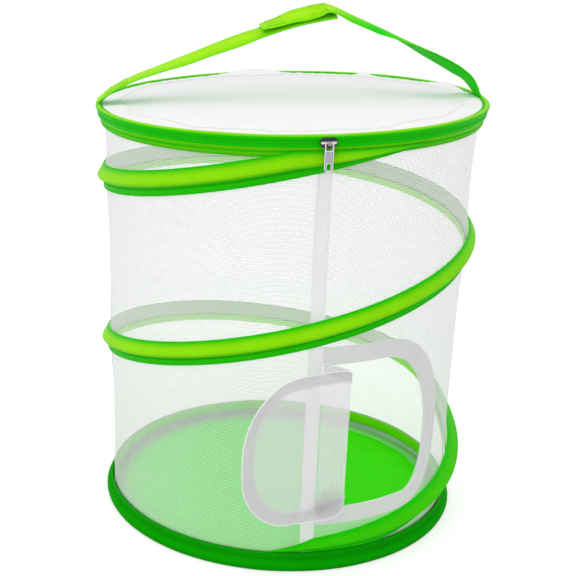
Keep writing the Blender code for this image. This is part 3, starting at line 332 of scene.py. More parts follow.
def smooth_curve(points, per_span):
    """A rounder line through an open list of points."""
    line = []
    last = len(points) - 1
    for i in range(last):
        p0, p1 = np.array(points[max(i - 1, 0)]), np.array(points[i])
        p2, p3 = np.array(points[i + 1]), np.array(points[min(i + 2, last)])
        square, cube = 2 * p0 - 5 * p1 + 4 * p2 - p3, 3 * p1 - p0 - 3 * p2 + p3
        for k in range(per_span):
            t = k / per_span
            bend = 2 * p1 + (p2 - p0) * t + square * t * t + cube * t**3
            line.append(tuple(bend / 2))
    return line + [tuple(points[-1])]


def polar(radius, azimuth, height):
    return Vector((radius * math.cos(azimuth), radius * math.sin(azimuth), height))


def ripple(azimuth, phase, waves=(5, 11, 17)):
    """An uneven wave round the cage, from -1 to 1, that closes on itself."""
    parts = [math.sin(n * azimuth + phase * (k + 1) + n) / (k + 1) for k, n in enumerate(waves)]
    return sum(parts) / sum(1 / (k + 1) for k in range(len(waves)))


# Mesh building
def node_levels(name):
    """Lowest and highest place of a CAD node."""
    low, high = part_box(name)
    return low[2], high[2]


def link(name, data):
    made = bpy.data.objects.new(name, data)
    bpy.context.scene.collection.objects.link(made)
    return made


def outward(mesh):
    shape = bmesh.new()
    shape.from_mesh(mesh)
    bmesh.ops.recalc_face_normals(shape, faces=shape.faces)
    shape.to_mesh(mesh)
    shape.free()


def set_values(mesh, label, values):
    """Gives each point of a mesh its value of an attribute."""
    layer = mesh.attributes.new(label, "FLOAT", "POINT")
    layer.data.foreach_set("value", np.array(values, dtype=np.float32))


def smooth_shade(mesh, sharp=50.0):
    mesh.shade_smooth()
    mesh.set_sharp_from_angle(angle=math.radians(sharp))


def finish_mesh(name, points, faces, uvs, material, tones=None):
    """A smooth object; tones says at each point its painted light: highlight or backlight on cloth, highlight
    on metal.
    """
    mesh = bpy.data.meshes.new(name)
    mesh.from_pydata([tuple(p) for p in points], [], faces)
    layer = mesh.uv_layers.new(name="cloth")
    layer.data.foreach_set("uv", np.array(uvs, dtype=np.float32).ravel())
    outward(mesh)
    if tones:
        set_values(mesh, "painted_light", tones)
    mesh.materials.append(material)
    smooth_shade(mesh)
    return link(name, mesh)


def skin(name, rows, material, closed_rows=False, tones=None):
    """A mesh over rows of closed profiles, with a UV map in metres along and across."""
    count, width = len(rows), len(rows[0])
    points = [Vector(p) for row in rows for p in row]
    along = [0.0]
    across = [0.0]
    middle = width // 4
    for i in range(1, count + 1):
        along.append(along[-1] + (Vector(rows[i % count][middle]) - Vector(rows[i - 1][middle])).length)
    half = rows[count // 2]
    for j in range(1, width + 1):
        across.append(across[-1] + (Vector(half[j % width]) - Vector(half[j - 1])).length)
    faces, uvs = [], []
    for i in range(count if closed_rows else count - 1):
        here, there = i * width, (i + 1) % count * width
        for j in range(width):
            k = (j + 1) % width
            faces.append((here + j, there + j, there + k, here + k))
            uvs += [(along[i], across[j]), (along[i + 1], across[j])]
            uvs += [(along[i + 1], across[j + 1]), (along[i], across[j + 1])]
    if not closed_rows:
        for start, order in ((0, range(width)), (len(points) - width, reversed(range(width)))):
            ends = tuple(start + j for j in order)
            faces.append(ends)
            uvs += [(along[0 if start == 0 else -2], across[i - start]) for i in ends]
    return finish_mesh(name, points, faces, uvs, material, tones)


def turned(name, profile_at, material, azimuths=None):
    """Turns a profile of (radius, height) round the axis; profile_at gives it at each azimuth."""
    turn = azimuths or round_azimuths(sizes().ring_steps)
    rows = [[polar(r, a, z) for r, z in profile_at(a)] for a in turn]
    return skin(name, rows, material, azimuths is None)


def tube(name, line, radius, material):
    """A thin round cord along an open line of points."""
    rows = []
    for i, spot in enumerate(line):
        run = (line[min(i + 1, len(line) - 1)] - line[max(i - 1, 0)]).normalized()
        side = run.cross(Vector((0.3, -1.0, 0.2))).normalized()
        other = run.cross(side)
        turn = round_azimuths(8)
        rows.append([spot + side * (radius * math.cos(a)) + other * (radius * math.sin(a)) for a in turn])
    return skin(name, rows, material)


def thin_sheet(name, front, back, material, closed=False, hole=None, uv_at=None, tones=None):
    """A closed thin sheet from two grids of points, column by column, without the cells in hole."""
    columns, rows = len(front), len(front[0])
    points = [p for column in front + back for p in column]
    offset = columns * rows
    cells = set()
    for i in range(columns if closed else columns - 1):
        for j in range(rows - 1):
            if hole is None or not hole(i, j):
                cells.add((i, j))

    def index(i, j):
        return i % columns * rows + j

    faces, uvs = [], []
    for i, j in sorted(cells):
        corners = ((i, j), (i + 1, j), (i + 1, j + 1), (i, j + 1))
        spots = [index(*corner) for corner in corners]
        marks = [uv_at(*corner) for corner in corners]
        faces.append(tuple(spots))
        uvs += marks
        faces.append(tuple(spot + offset for spot in reversed(spots)))
        uvs += marks[::-1]
        left, right = ((i - 1) % columns, (i + 1) % columns) if closed else (i - 1, i + 1)
        for beside, p, q in (((left, j), 0, 3), ((right, j), 2, 1), ((i, j - 1), 1, 0), ((i, j + 1), 3, 2)):
            if beside not in cells:
                faces.append((spots[p], spots[q], spots[q] + offset, spots[p] + offset))
                uvs += [marks[p], marks[q], marks[q], marks[p]]
    used = sorted({v for face in faces for v in face})
    renumber = {v: k for k, v in enumerate(used)}
    faces = [tuple(renumber[v] for v in face) for face in faces]
    kept = [tones[v] for v in used] if tones else None
    return finish_mesh(name, [points[v] for v in used], faces, uvs, material, kept)


def close_holes(piece):
    """Fills the small round holes at the middle of a disc, which also drops the walls inside it."""
    shape = bmesh.new()
    shape.from_mesh(piece.data)
    near = [v for v in shape.verts if math.hypot(v.co.x, v.co.y) < DISC_HOLE]
    inner = [f for f in shape.faces if all(v in near for v in f.verts) and abs(f.normal.z) < 0.5]
    bmesh.ops.delete(shape, geom=inner, context="FACES_ONLY")
    edges = [e for e in shape.edges if e.is_boundary]
    bmesh.ops.holes_fill(shape, edges=edges, sides=0)
    bmesh.ops.recalc_face_normals(shape, faces=shape.faces)
    layer = shape.loops.layers.uv["cloth"]
    for face in shape.faces:
        if len(face.verts) > 4:
            for loop in face.loops:
                loop[layer].uv = (loop.vert.co.x, loop.vert.co.y)
    shape.to_mesh(piece.data)
    shape.free()


# Node trees
def feed(tree, node, inputs):
    """Sets a node's inputs, each to a plain value or from another node's output."""
    for key, value in inputs.items():
        if hasattr(value, "links"):
            tree.links.new(value, node.inputs[key])
        else:
            node.inputs[key].default_value = value


def add_node(tree, kind, inputs=None, **values):
    made = tree.nodes.new(kind)
    for key, value in values.items():
        setattr(made, key, value)
    feed(tree, made, inputs or {})
    return made


def maths(tree, operation, *numbers):
    """A Math node on sockets or plain numbers."""
    return add_node(tree, "ShaderNodeMath", dict(enumerate(numbers)), operation=operation).outputs[0]


def new_tree(name, kind, inputs, outputs):
    """An empty node tree with named sockets, and its ends."""
    tree = bpy.data.node_groups.new(name, kind)
    for way, sockets in (("INPUT", inputs), ("OUTPUT", outputs)):
        for label, socket in sockets.items():
            tree.interface.new_socket(label, in_out=way, socket_type="NodeSocket" + socket)
    return tree, tree.nodes.new("NodeGroupInput").outputs, tree.nodes.new("NodeGroupOutput")


# Geometry Nodes: rings turned from a profile, and beads such as stitches and zip teeth along a line
def new_geometry_tree(name, inputs):
    shape = {"Geometry": "Geometry"}
    return new_tree(name, "GeometryNodeTree", {**shape, **inputs, "Material": "Material"}, shape)


def end_tree(tree, given, sink, made):
    """Every tree ends in Realize Instances and Set Material."""
    real = add_node(tree, "GeometryNodeRealizeInstances", {"Geometry": made})
    paint = {"Geometry": real.outputs["Geometry"], "Material": given["Material"]}
    feed(tree, sink, {"Geometry": add_node(tree, "GeometryNodeSetMaterial", paint).outputs["Geometry"]})
    return tree


def ring_tree(name):
    """Turns a flat profile round the cage's axis, a little uneven as sewn cloth is."""
    inputs = {"Radius": "Float", "Steps": "Int", "Unevenness": "Float"}
    tree, given, sink = new_geometry_tree(name, inputs)
    profile = add_node(tree, "GeometryNodeMeshToCurve", {"Mesh": given["Geometry"]})
    size = {"Radius": given["Radius"], "Resolution": given["Steps"]}
    circle = add_node(tree, "GeometryNodeCurvePrimitiveCircle", size)
    curves = {"Curve": circle.outputs["Curve"], "Profile Curve": profile.outputs["Curve"]}
    sweep = add_node(tree, "GeometryNodeCurveToMesh", curves)
    noise = add_node(tree, "ShaderNodeTexNoise", {"Scale": 22.0})
    centred = maths(tree, "SUBTRACT", noise.outputs["Fac"], 0.5)
    amount = maths(tree, "MULTIPLY", centred, given["Unevenness"])
    normal = tree.nodes.new("GeometryNodeInputNormal").outputs[0]
    shift = add_node(tree, "ShaderNodeVectorMath", operation="SCALE")
    feed(tree, shift, {0: normal, "Scale": amount})
    moved = {"Geometry": sweep.outputs["Mesh"], "Offset": shift.outputs[0]}
    return end_tree(tree, given, sink, add_node(tree, "GeometryNodeSetPosition", moved).outputs["Geometry"])


def bead_tree(name):
    """Small long beads set along lines: stitches, zip teeth and hooks."""
    tree, given, sink = new_geometry_tree(name, {"Spacing": "Float", "Size": "Vector"})
    line = add_node(tree, "GeometryNodeMeshToCurve", {"Mesh": given["Geometry"]})
    points = add_node(tree, "GeometryNodeCurveToPoints", mode="LENGTH")
    feed(tree, points, {"Curve": line.outputs["Curve"], "Length": given["Spacing"]})
    bead = add_node(tree, "GeometryNodeMeshUVSphere", {"Segments": 6, "Rings": 4, "Radius": 0.5})
    placed = {
        "Points": points.outputs["Points"],
        "Rotation": points.outputs["Rotation"],
        "Instance": bead.outputs["Mesh"],
        "Scale": given["Size"],
    }
    place = add_node(tree, "GeometryNodeInstanceOnPoints", placed)
    return end_tree(tree, given, sink, place.outputs["Instances"])


def grow(name, points, edges, kind, values, columns=None):
    """Runs a tree on a mesh of lines and keeps the result as a plain mesh."""
    mesh = bpy.data.meshes.new(name + "_line")
    mesh.from_pydata([tuple(p) for p in points], edges, [])
    for label, column in (columns or {}).items():
        set_values(mesh, label, column)
    carrier = link(name + "_line", mesh)
    modifier = carrier.modifiers.new("grow", "NODES")
    modifier.node_group = kept_tree(kind)
    for item in modifier.node_group.interface.items_tree:
        if item.in_out == "INPUT" and item.name in values:
            modifier[item.identifier] = values[item.name]
    made = bpy.data.meshes.new_from_object(carrier.evaluated_get(bpy.context.evaluated_depsgraph_get()))
    if not made.polygons:
        raise RuntimeError(f"{name}: the tree made nothing")
    made.name = name
    bpy.data.objects.remove(carrier)
    bpy.data.meshes.remove(mesh)
    return link(name, made)


def ring(name, profile, material, unevenness=0.0):
    """A closed ring from a closed profile of (radius, height, tone) points."""
    count = len(profile)
    lengths = [0.0]
    for (r0, z0, _), (r1, z1, _) in zip(profile, profile[1:]):
        lengths.append(lengths[-1] + math.hypot(r1 - r0, z1 - z0))
    points = [(r - HOOP_RADIUS, -z, 0.0) for r, z, _ in profile]
    edges = [(i, (i + 1) % count) for i in range(count)]
    values = {"Radius": HOOP_RADIUS, "Steps": sizes().ring_steps}
    values |= {"Unevenness": unevenness, "Material": material}
    columns = {"painted_light": [tone for _, _, tone in profile], "across": lengths}
    piece = grow(name, points, edges, "Turned ring", values, columns)
    mesh = piece.data
    layer = mesh.uv_layers.new(name="cloth")
    across = mesh.attributes["across"].data
    for face in mesh.polygons:
        middle = math.atan2(face.center.y, face.center.x)
        for loop, vertex in zip(face.loop_indices, face.vertices):
            place = mesh.vertices[vertex].co
            turn = (math.atan2(place.y, place.x) - middle + math.pi) % math.tau - math.pi
            layer.data[loop].uv = ((middle + turn) * HOOP_RADIUS, across[vertex].value)
    outward(mesh)
    smooth_shade(mesh)
    return piece


def bead_run(name, lines, material, spacing, wide, long):
    """Beads along several open lines of points."""
    points, edges = [], []
    for line in lines:
        start = len(points)
        points += line
        edges += [(start + i, start + i + 1) for i in range(len(line) - 1)]
    values = {"Spacing": spacing, "Size": (wide, wide, long), "Material": material}
    piece = grow(name, points, edges, "Beads on a line", values)
    piece.data.shade_smooth()
    return piece


def stitch_run(name, lines, thread):
    """A row of stitches along each line, with a small gap from each to the next."""
    wide, long = sizes().stitch_width, sizes().stitch_length
    return bead_run(name, lines, finish(thread), long, wide, long * STITCH_SHARE)


def round_line(radius, height):
    """Points round the cage at one radius and height."""
    return [polar(radius, a, height) for a in steps(0.0, math.tau, sizes().ring_steps)]


def keep_with(piece, body, slot, *nodes, collapses=False):
    """Makes a piece move with its body and stand for its nodes, and gives a collapsing piece its own mesh."""
    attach(piece, body)
    if nodes:
        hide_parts(*nodes)
    if collapses:
        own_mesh(piece)


def sew(name, lines, thread, body, slot, collapses=False):
    """Stitches that move with a body."""
    keep_with(stitch_run(name, lines, thread), body, slot, collapses=collapses)


# Shader node groups
def new_effect(name, inputs, output):
    """An empty shader group that works from a position in metres."""
    return new_tree(name, "ShaderNodeTree", {"Position": "Vector", **inputs}, {output: "Float"})


def weave_group(name):
    """Plain weave: the height of crossing threads at a pitch."""
    tree, given, sink = new_effect(name, {"Pitch": "Float"}, "Height")
    split = add_node(tree, "ShaderNodeSeparateXYZ", {0: given["Position"]})
    waves = []
    for axis in (0, 1):
        turns = maths(tree, "DIVIDE", split.outputs[axis], given["Pitch"])
        waves.append(maths(tree, "SINE", maths(tree, "MULTIPLY", turns, math.pi)))
    over = maths(tree, "MULTIPLY", waves[0], waves[1])
    threads = []
    for wave, test in zip(waves, ("GREATER_THAN", "LESS_THAN")):
        on_top = maths(tree, test, over, 0.0)
        threads.append(maths(tree, "MULTIPLY", maths(tree, "ABSOLUTE", wave), on_top))
    feed(tree, sink, {"Height": maths(tree, "ADD", *threads)})
    return tree


def net_group(name):
    """Knitted net: 1 on a thread and 0 in a hole, with its round holes in staggered rows."""
    tree, given, sink = new_effect(name, {"Pitch": "Float", "Thread": "Float"}, "Thread mask")
    split = add_node(tree, "ShaderNodeSeparateXYZ", {0: given["Position"]})
    rows = maths(tree, "DIVIDE", split.outputs[1], maths(tree, "MULTIPLY", given["Pitch"], 0.8))
    odd = maths(tree, "FLOORED_MODULO", maths(tree, "FLOOR", rows), 2.0)
    stagger = maths(tree, "MULTIPLY", odd, 0.5)
    columns = maths(tree, "ADD", maths(tree, "DIVIDE", split.outputs[0], given["Pitch"]), stagger)
    squares = []
    for place in (rows, columns):
        off_middle = maths(tree, "SUBTRACT", maths(tree, "FRACT", place), 0.5)
        squares.append(maths(tree, "MULTIPLY", off_middle, off_middle))
    away = maths(tree, "SQRT", maths(tree, "ADD", *squares))
    hole = maths(tree, "SUBTRACT", 0.5, maths(tree, "MULTIPLY", given["Thread"], 0.5))
    feed(tree, sink, {"Thread mask": maths(tree, "GREATER_THAN", away, hole)})
    return tree


def mottle_group(name):
    """Slow unevenness of dyed cloth, from 0 to 1."""
    tree, given, sink = new_effect(name, {"Scale": "Float"}, "Amount")
    field = {"Vector": given["Position"], "Scale": given["Scale"], "Detail": 3.0}
    feed(tree, sink, {"Amount": add_node(tree, "ShaderNodeTexNoise", field).outputs["Fac"]})
    return tree


TREES = {
    "Turned ring": ring_tree,
    "Beads on a line": bead_tree,
    "Plain weave": weave_group,
    "Knitted net": net_group,
    "Dye mottle": mottle_group,
}


def kept_tree(name):
    """A shared tree, built the first time that it is asked for."""
    return bpy.data.node_groups.get(name) or TREES[name](name)


def place_group(tree, name, position, **values):
    """The output of a shared group, placed in a material with its own values."""
    inputs = {"Position": position, **values}
    return add_node(tree, "ShaderNodeGroup", inputs, node_tree=kept_tree(name)).outputs[0]


# Materials
def new_material(name, **inputs):
    """A material whose shader has plain values, named with _ for a space."""
    material = bpy.data.materials.new(name)
    material.use_nodes = True
    tree = material.node_tree
    shader = tree.nodes["Principled BSDF"]
    feed(tree, shader, {label.replace("_", " "): value for label, value in inputs.items()})
    return material, tree, shader


def solid(colour):
    return (*colour, 1.0)


def times(colour, *by, most=1.0):
    """A colour made lighter or darker, in all channels alike or each by its own number."""
    return [min(c * s, most) for c, s in zip(colour, by * 3 if len(by) == 1 else by)]


def uv_position(tree):
    return add_node(tree, "ShaderNodeUVMap", uv_map="cloth").outputs["UV"]


def object_position(tree):
    return add_node(tree, "ShaderNodeTexCoord").outputs["Object"]


def bump(tree, shader, height, strength, distance):
    relief = {"Strength": strength, "Distance": distance, "Height": height}
    feed(tree, shader, {"Normal": add_node(tree, "ShaderNodeBump", relief).outputs["Normal"]})


def woven(tree, shader, position, pitch, strength, distance):
    bump(tree, shader, place_group(tree, "Plain weave", position, Pitch=pitch), strength, distance)


def mottled(tree, shader, colour, amount, scale):
    """Sets the base colour to a colour socket or a colour that wanders, lighter and darker."""
    mottle = place_group(tree, "Dye mottle", object_position(tree), Scale=scale)
    level = maths(tree, "ADD", maths(tree, "MULTIPLY", mottle, 2 * amount), 1 - amount)
    mix = add_node(tree, "ShaderNodeMix", data_type="RGBA", blend_type="MULTIPLY")
    plain = colour if hasattr(colour, "links") else solid(colour)
    feed(tree, mix, {"Factor": 1.0, "A": plain, "B": level})
    feed(tree, shader, {"Base Color": mix.outputs["Result"]})


def toned(tree, low, high, lit=None):
    """A colour by the piece's painted light: low at 0, a painted highlight high at 1 and a painted backlight
    lit at 2.
    """
    painted_light = add_node(tree, "ShaderNodeAttribute", attribute_name="painted_light").outputs["Fac"]
    mix = add_node(tree, "ShaderNodeMix", data_type="RGBA")
    feed(tree, mix, {"A": solid(low), "B": solid(high), "Factor": painted_light})
    if lit is None:
        return mix.outputs["Result"]
    through = add_node(tree, "ShaderNodeMix", data_type="RGBA")
    past_highlight = maths(tree, "SUBTRACT", painted_light, 1.0)
    feed(tree, through, {"A": mix.outputs["Result"], "B": solid(lit), "Factor": past_highlight})
    return through.outputs["Result"]


def see_through(tree, shader, thread, pitch):
    """Open holes between threads; a fine net lets by more light than its threads hide."""
    net = place_group(tree, "Knitted net", uv_position(tree), Pitch=pitch, Thread=thread)
    path = add_node(tree, "ShaderNodeLightPath")
    light = maths(tree, "MAXIMUM", path.outputs["Is Shadow Ray"], path.outputs["Is Diffuse Ray"])
    share = maths(tree, "SUBTRACT", 1.0, maths(tree, "MULTIPLY", light, NET_LETS_BY))
    hole, thread_more = NET_COVER
    cover = maths(tree, "ADD", maths(tree, "MULTIPLY", net, thread_more), hole)
    feed(tree, shader, {"Alpha": maths(tree, "MULTIPLY", cover, share)})


def cloth_material(name, low, high, pitch, shine=1.0):
    """Dyed woven polyester, with a yellower painted highlight and a pale painted backlight where its tones
    say.
    """
    material, tree, shader = new_material(
        name,
        Roughness=0.5,
        Specular_IOR_Level=0.08 * shine,
        Specular_Tint=(0.55, 1.0, 0.05, 1.0),
        Sheen_Weight=0.12 * shine,
        Sheen_Roughness=0.4,
        Sheen_Tint=(0.5, 1.0, 0.05, 1.0),
    )
    mottled(tree, shader, toned(tree, low, high, colours().cloth_lit), 0.07, 60.0)
    woven(tree, shader, uv_position(tree), pitch, 0.25, 0.0002)
    return material


def object_cloth(name, low, high, amount, pitch, alpha=1.0):
    """Cloth for a piece without a UV map, with its weave on Object coordinates."""
    material, tree, shader = new_material(name, Roughness=0.6, Specular_IOR_Level=0.2, Alpha=alpha)
    mottled(tree, shader, toned(tree, low, high), amount, 60.0)
    woven(tree, shader, object_position(tree), pitch, 0.4, 0.0003)
    return material


def tape_material(name, colour, thread=None):
    """White ribbed tape; given a thread, light comes between its threads."""
    material, tree, shader = new_material(name, Roughness=0.8, Specular_IOR_Level=0.2)
    mottled(tree, shader, colour, 0.05, 90.0)
    woven(tree, shader, uv_position(tree), sizes().weave_pitch * 2, 0.4, 0.0003)
    if thread:
        see_through(tree, shader, thread, sizes().net_pitch * 0.6)
    return material


def net_material(name, thread, colour):
    """Knitted net: opaque pale threads with open holes between them."""
    material, tree, shader = new_material(name, Roughness=0.7, Specular_IOR_Level=0.2)
    mottled(tree, shader, colour, 0.03, 30.0)
    see_through(tree, shader, thread, sizes().net_pitch)
    return material


def thread_material(name, colour):
    """Twisted sewing thread."""
    material, tree, shader = new_material(name, Roughness=0.6, Specular_IOR_Level=0.2)
    mottled(tree, shader, colour, 0.12, 900.0)
    return material


def metal_material(name, colour, metal_highlight, roughness):
    """Plated or drawn metal, with a painted highlight on its ridges and fine handling marks."""
    material, tree, shader = new_material(name, Roughness=roughness, Metallic=1.0)
    mottled(tree, shader, toned(tree, colour, metal_highlight), 0.1, 300.0)
    marks = add_node(tree, "ShaderNodeTexNoise", {"Vector": object_position(tree), "Scale": 900.0})
    bump(tree, shader, marks.outputs["Fac"], 0.08, 0.0001)
    return material


def finishes():
    """Every finish of the cage by its name: how it is made, and its values."""
    ink, size = colours(), sizes()
    deep, highlight, tape, net, metal_highlight = ink.cloth_deep, ink.cloth_highlight, ink.tape, ink.net, ink.metal_highlight
    weave, wall, hem = size.weave_pitch, size.wall_thread, size.hem_thread
    # The webbing takes lighter copies of the cloth's colours as painted light, with a painted highlight on
    # its top face
    bright = times(highlight, 1.55, 1.12, 1.5)
    return {
        "green cloth": (cloth_material, deep, highlight, weave),
        # The next finish is a darker copy of the green cloth: painted shade near the ground
        "green cloth near the ground": (cloth_material, times(deep, 0.6), deep, weave, 0.1),
        "green cloth tab": (object_cloth, deep, deep, 0.07, weave),
        "green webbing": (cloth_material, times(deep, 1.25), bright, weave * 1.5, 0.5),
        "floor cloth": (cloth_material, ink.floor, highlight, weave, 0.4),
        "green thread": (thread_material, times(deep, 0.8)),
        # The webbing's thread takes the painted highlight's colour
        "webbing thread": (thread_material, times(highlight, 0.9)),
        "white thread": (thread_material, net),
        "hook thread": (thread_material, (0.20, 0.20, 0.21)),
        "hook patch": (object_cloth, times(tape, 1.1), tape, 0.05, 0.0009, 0.05),
        "border tape": (tape_material, tape, 0.8),
        "seam tape": (tape_material, times(tape, 1.15), 0.6),
        "flap edge tape": (tape_material, times(tape, 1.15, most=0.93)),
        "wall net": (net_material, wall, net),
        # The lid's nets are painted lighter than the wall's net: painted light on the cage's top
        "lid net": (net_material, size.lid_thread, times(net, 1.035)),
        "hem net": (net_material, hem, times(net, 1.06, most=0.98)),
        "flap net": (net_material, wall + 0.1, net),
        "flap hem net": (net_material, hem, times(net, 0.78)),
        "floor seam edge": (net_material, wall, (0.45, 0.78, 0.42)),
        "spring steel": (metal_material, ink.steel, metal_highlight, 0.35),
        "dark plated metal": (metal_material, ink.slider, metal_highlight, 0.16),
        "pale plated metal": (metal_material, ink.pull, metal_highlight, 0.24),
    }


def finish(name):
    """A finish by its name, made the first time that it is asked for."""
    maker, *values = finishes()[name]
    return bpy.data.materials.get(name) or maker(name, *values)


# Spring
def spring_azimuth(turns):
    return SPRING_START - math.tau * turns


def spring_levels(turns):
    """Heights of the sleeve's lower edge, hem top and upper edge, and how full it is there."""
    low = CAGE_TOP * smooth_at(SPRING_ROUTE_SHARES, turns)
    high = min(low + SLEEVE_HEIGHT, COLLAR_FOOT + COLLAR_LAP)
    low = min(max(low, BOTTOM_SLEEVE_TOP + 0.0006), high - SLEEVE_LEAST)
    tail = unit((turns - SPRING_TAIL) / (SPRING_TURNS - SPRING_TAIL))
    high -= (high - low - SLEEVE_LEAST) * tail
    room = (high - low) / SLEEVE_HEIGHT
    return low, low + SLEEVE_HEM * room, high, room


def spring_heights_at(azimuth):
    """Middle heights of every pass of the spring at one azimuth."""
    first = (SPRING_START - azimuth) / math.tau % 1.0
    passes = [first + k for k in range(3) if first + k <= SPRING_TURNS]
    return [sum(spring_levels(t)[:3]) / 3 for t in passes]


# Wall
def net_radius(azimuth, height):
    """The net draws in between the rings and stands out where a ring holds it."""
    holds = spring_heights_at(azimuth) + [BOTTOM_SLEEVE_TOP / 2, COLLAR_TOP]
    away = max(min(abs(height - h) for h in holds) - 0.008, 0.0)
    drawn = 1.0 - bell(away, 0.022)
    gather = 0.00012 * math.sin(140 * azimuth) * math.exp(-away / 0.006)
    beside = ((azimuth - SEAM_AZIMUTH + math.pi) % math.tau - math.pi) * NET_OUTSIDE
    crease = 0.0007 * drawn * math.sin(beside * 330) * bell(beside, 0.022)
    return NET_OUTSIDE - 0.0002 - sizes().net_waist * drawn + gather + crease


def on_net(azimuth, height, lift):
    return polar(net_radius(azimuth, height) + lift, azimuth, height)


def wall_azimuth(along):
    return SEAM_AZIMUTH + along / NET_OUTSIDE


def door_upper(along, side=0.0, grow=0.0):
    """Upper edge of the door, or of its border when side and grow widen it."""
    wide, tall = DOOR_SHOULDER
    return DOOR_TOP - tall + (tall + grow) * round_off((along - (DOOR_WIDTH - wide)) / (wide + side))


def door_lower(along, side=0.0, grow=0.0):
    wide, tall = DOOR_HEEL
    return DOOR_BOTTOM + tall - (tall + grow) * round_off((along - (DOOR_WIDTH - wide)) / (wide + side))


def door_places(start, side, count=26):
    """Places along the door, close together where its right side turns upright."""
    return closing_steps(start, DOOR_WIDTH + side - start, count)


def wall_sheet(name, azimuths, levels_at, counts, material, lift, thickness, door=None, closed=False):
    """A sheet on the wall between four levels, with the door left out of the middle ones."""
    heights = [steps_between(levels_at((a - SEAM_AZIMUTH) * NET_OUTSIDE), counts) for a in azimuths]
    last = len(azimuths) - 1

    def side(more):
        return [
            [polar(net_radius(a, z) + lift + more, a, z) for z in column]
            for a, column in zip(azimuths, heights)
        ]

    def hole(i, j):
        inside = azimuths[i] >= door[0] - SLIVER and azimuths[min(i + 1, last)] <= door[1] + SLIVER
        return inside and counts[0] <= j < counts[0] + counts[1]

    def uv_at(i, j):
        turn = azimuths[i % len(azimuths)] + (math.tau if i > last else 0.0)
        return (turn * NET_OUTSIDE, heights[i % len(azimuths)][j])

    return thin_sheet(name, side(thickness), side(0.0), material, closed, hole if door else None, uv_at)


def build_wall_net():
    count = sizes().ring_steps
    places = [wall_azimuth(s) for s in door_places(0.0, 0.0)]
    step = math.tau / count
    plain = [-math.pi + step * i for i in range(count)]
    azimuths = sorted([a for a in plain if not places[0] - step / 3 < a < places[-1] + step / 3] + places)

    def levels_at(along):
        inside = min(max(along, 0.0), DOOR_WIDTH)
        return [NET_FOOT, door_lower(inside), door_upper(inside), NET_TOP]

    cloth, door, thickness = finish("wall net"), (places[0], places[-1]), -sizes().net_thickness
    net = wall_sheet(
        "net_wall_cloth", azimuths, levels_at, (16, 22, 40), cloth, 0.0, thickness, door, closed=True
    )
    keep_with(net, "base", "white_net", "net_wall", collapses=True)


def build_seam_strip():
    width = SEAM_HALF / NET_OUTSIDE
    azimuths = steps(SEAM_AZIMUTH - width, SEAM_AZIMUTH + width, 6)
    levels, counts = [NET_FOOT, NET_FOOT + 0.1, NET_FOOT + 0.2, NET_TOP], (16, 16, 20)
    tape = finish("seam tape")
    strip = wall_sheet("seam_strip_tape", azimuths, lambda along: levels, counts, tape, TAPE_LIFT, TAPE_THICK)
    keep_with(strip, "base", "white_tape", "wall_seam_strip", collapses=True)
    edges = [SEAM_AZIMUTH + side * (width - 0.0012 / NET_OUTSIDE) for side in (-1, 1)]
    heights = steps(BOTTOM_SLEEVE_TOP, COLLAR_FOOT, 80)
    lines = [[on_net(a, z, 0.00095) for z in heights] for a in edges]
    sew("seam_strip_stitches", lines, "white thread", "base", "white_tape", collapses=True)


def build_door_border():
    start = SEAM_HALF + 0.0003
    side, grow = 0.019, 0.014
    inner = door_places(start, 0.0)
    outer = [s for s in door_places(start, side) if s > DOOR_WIDTH + 0.0005]
    azimuths = [wall_azimuth(s) for s in inner + outer]

    def levels_at(along):
        inside = min(along, DOOR_WIDTH)
        low, high = door_lower(along, side, grow), door_upper(along, side, grow)
        return [low, max(door_lower(inside), low), min(door_upper(inside), high), high]

    door = (azimuths[0], wall_azimuth(DOOR_WIDTH))
    border = wall_sheet(
        "door_border", azimuths, levels_at, (6, 10, 6), finish("border tape"), TAPE_LIFT, TAPE_THICK, door
    )
    keep_with(border, "base", "white_tape", "door_border_tape", collapses=True)
    lines = []
    for out in (0.002, 0.0125):
        places = door_places(start, out, 40)
        for edge in (door_upper, door_lower):
            lines.append([on_net(wall_azimuth(s), edge(s, out, out * grow / side), 0.0011) for s in places])
    sew("door_border_stitches", lines, "white thread", "base", "white_tape", collapses=True)


# Sleeves
def collar_radius(height):
    foot = NET_OUTSIDE + 0.0017
    return foot + (COLLAR_TOP_RADIUS - foot) * unit((height - COLLAR_FOOT) / (COLLAR_TOP - COLLAR_FOOT))


def over_collar(height):
    """Radius that the sleeve lies on: the wall's tapes, then the collar's slope."""
    base = NET_OUTSIDE + SLEEVE_LIFT
    over = collar_radius(max(height, COLLAR_FOOT)) + 0.0003
    start = COLLAR_FOOT - COLLAR_LAP
    return base + (over - base) * unit((height - start) / (COLLAR_FOOT - start))


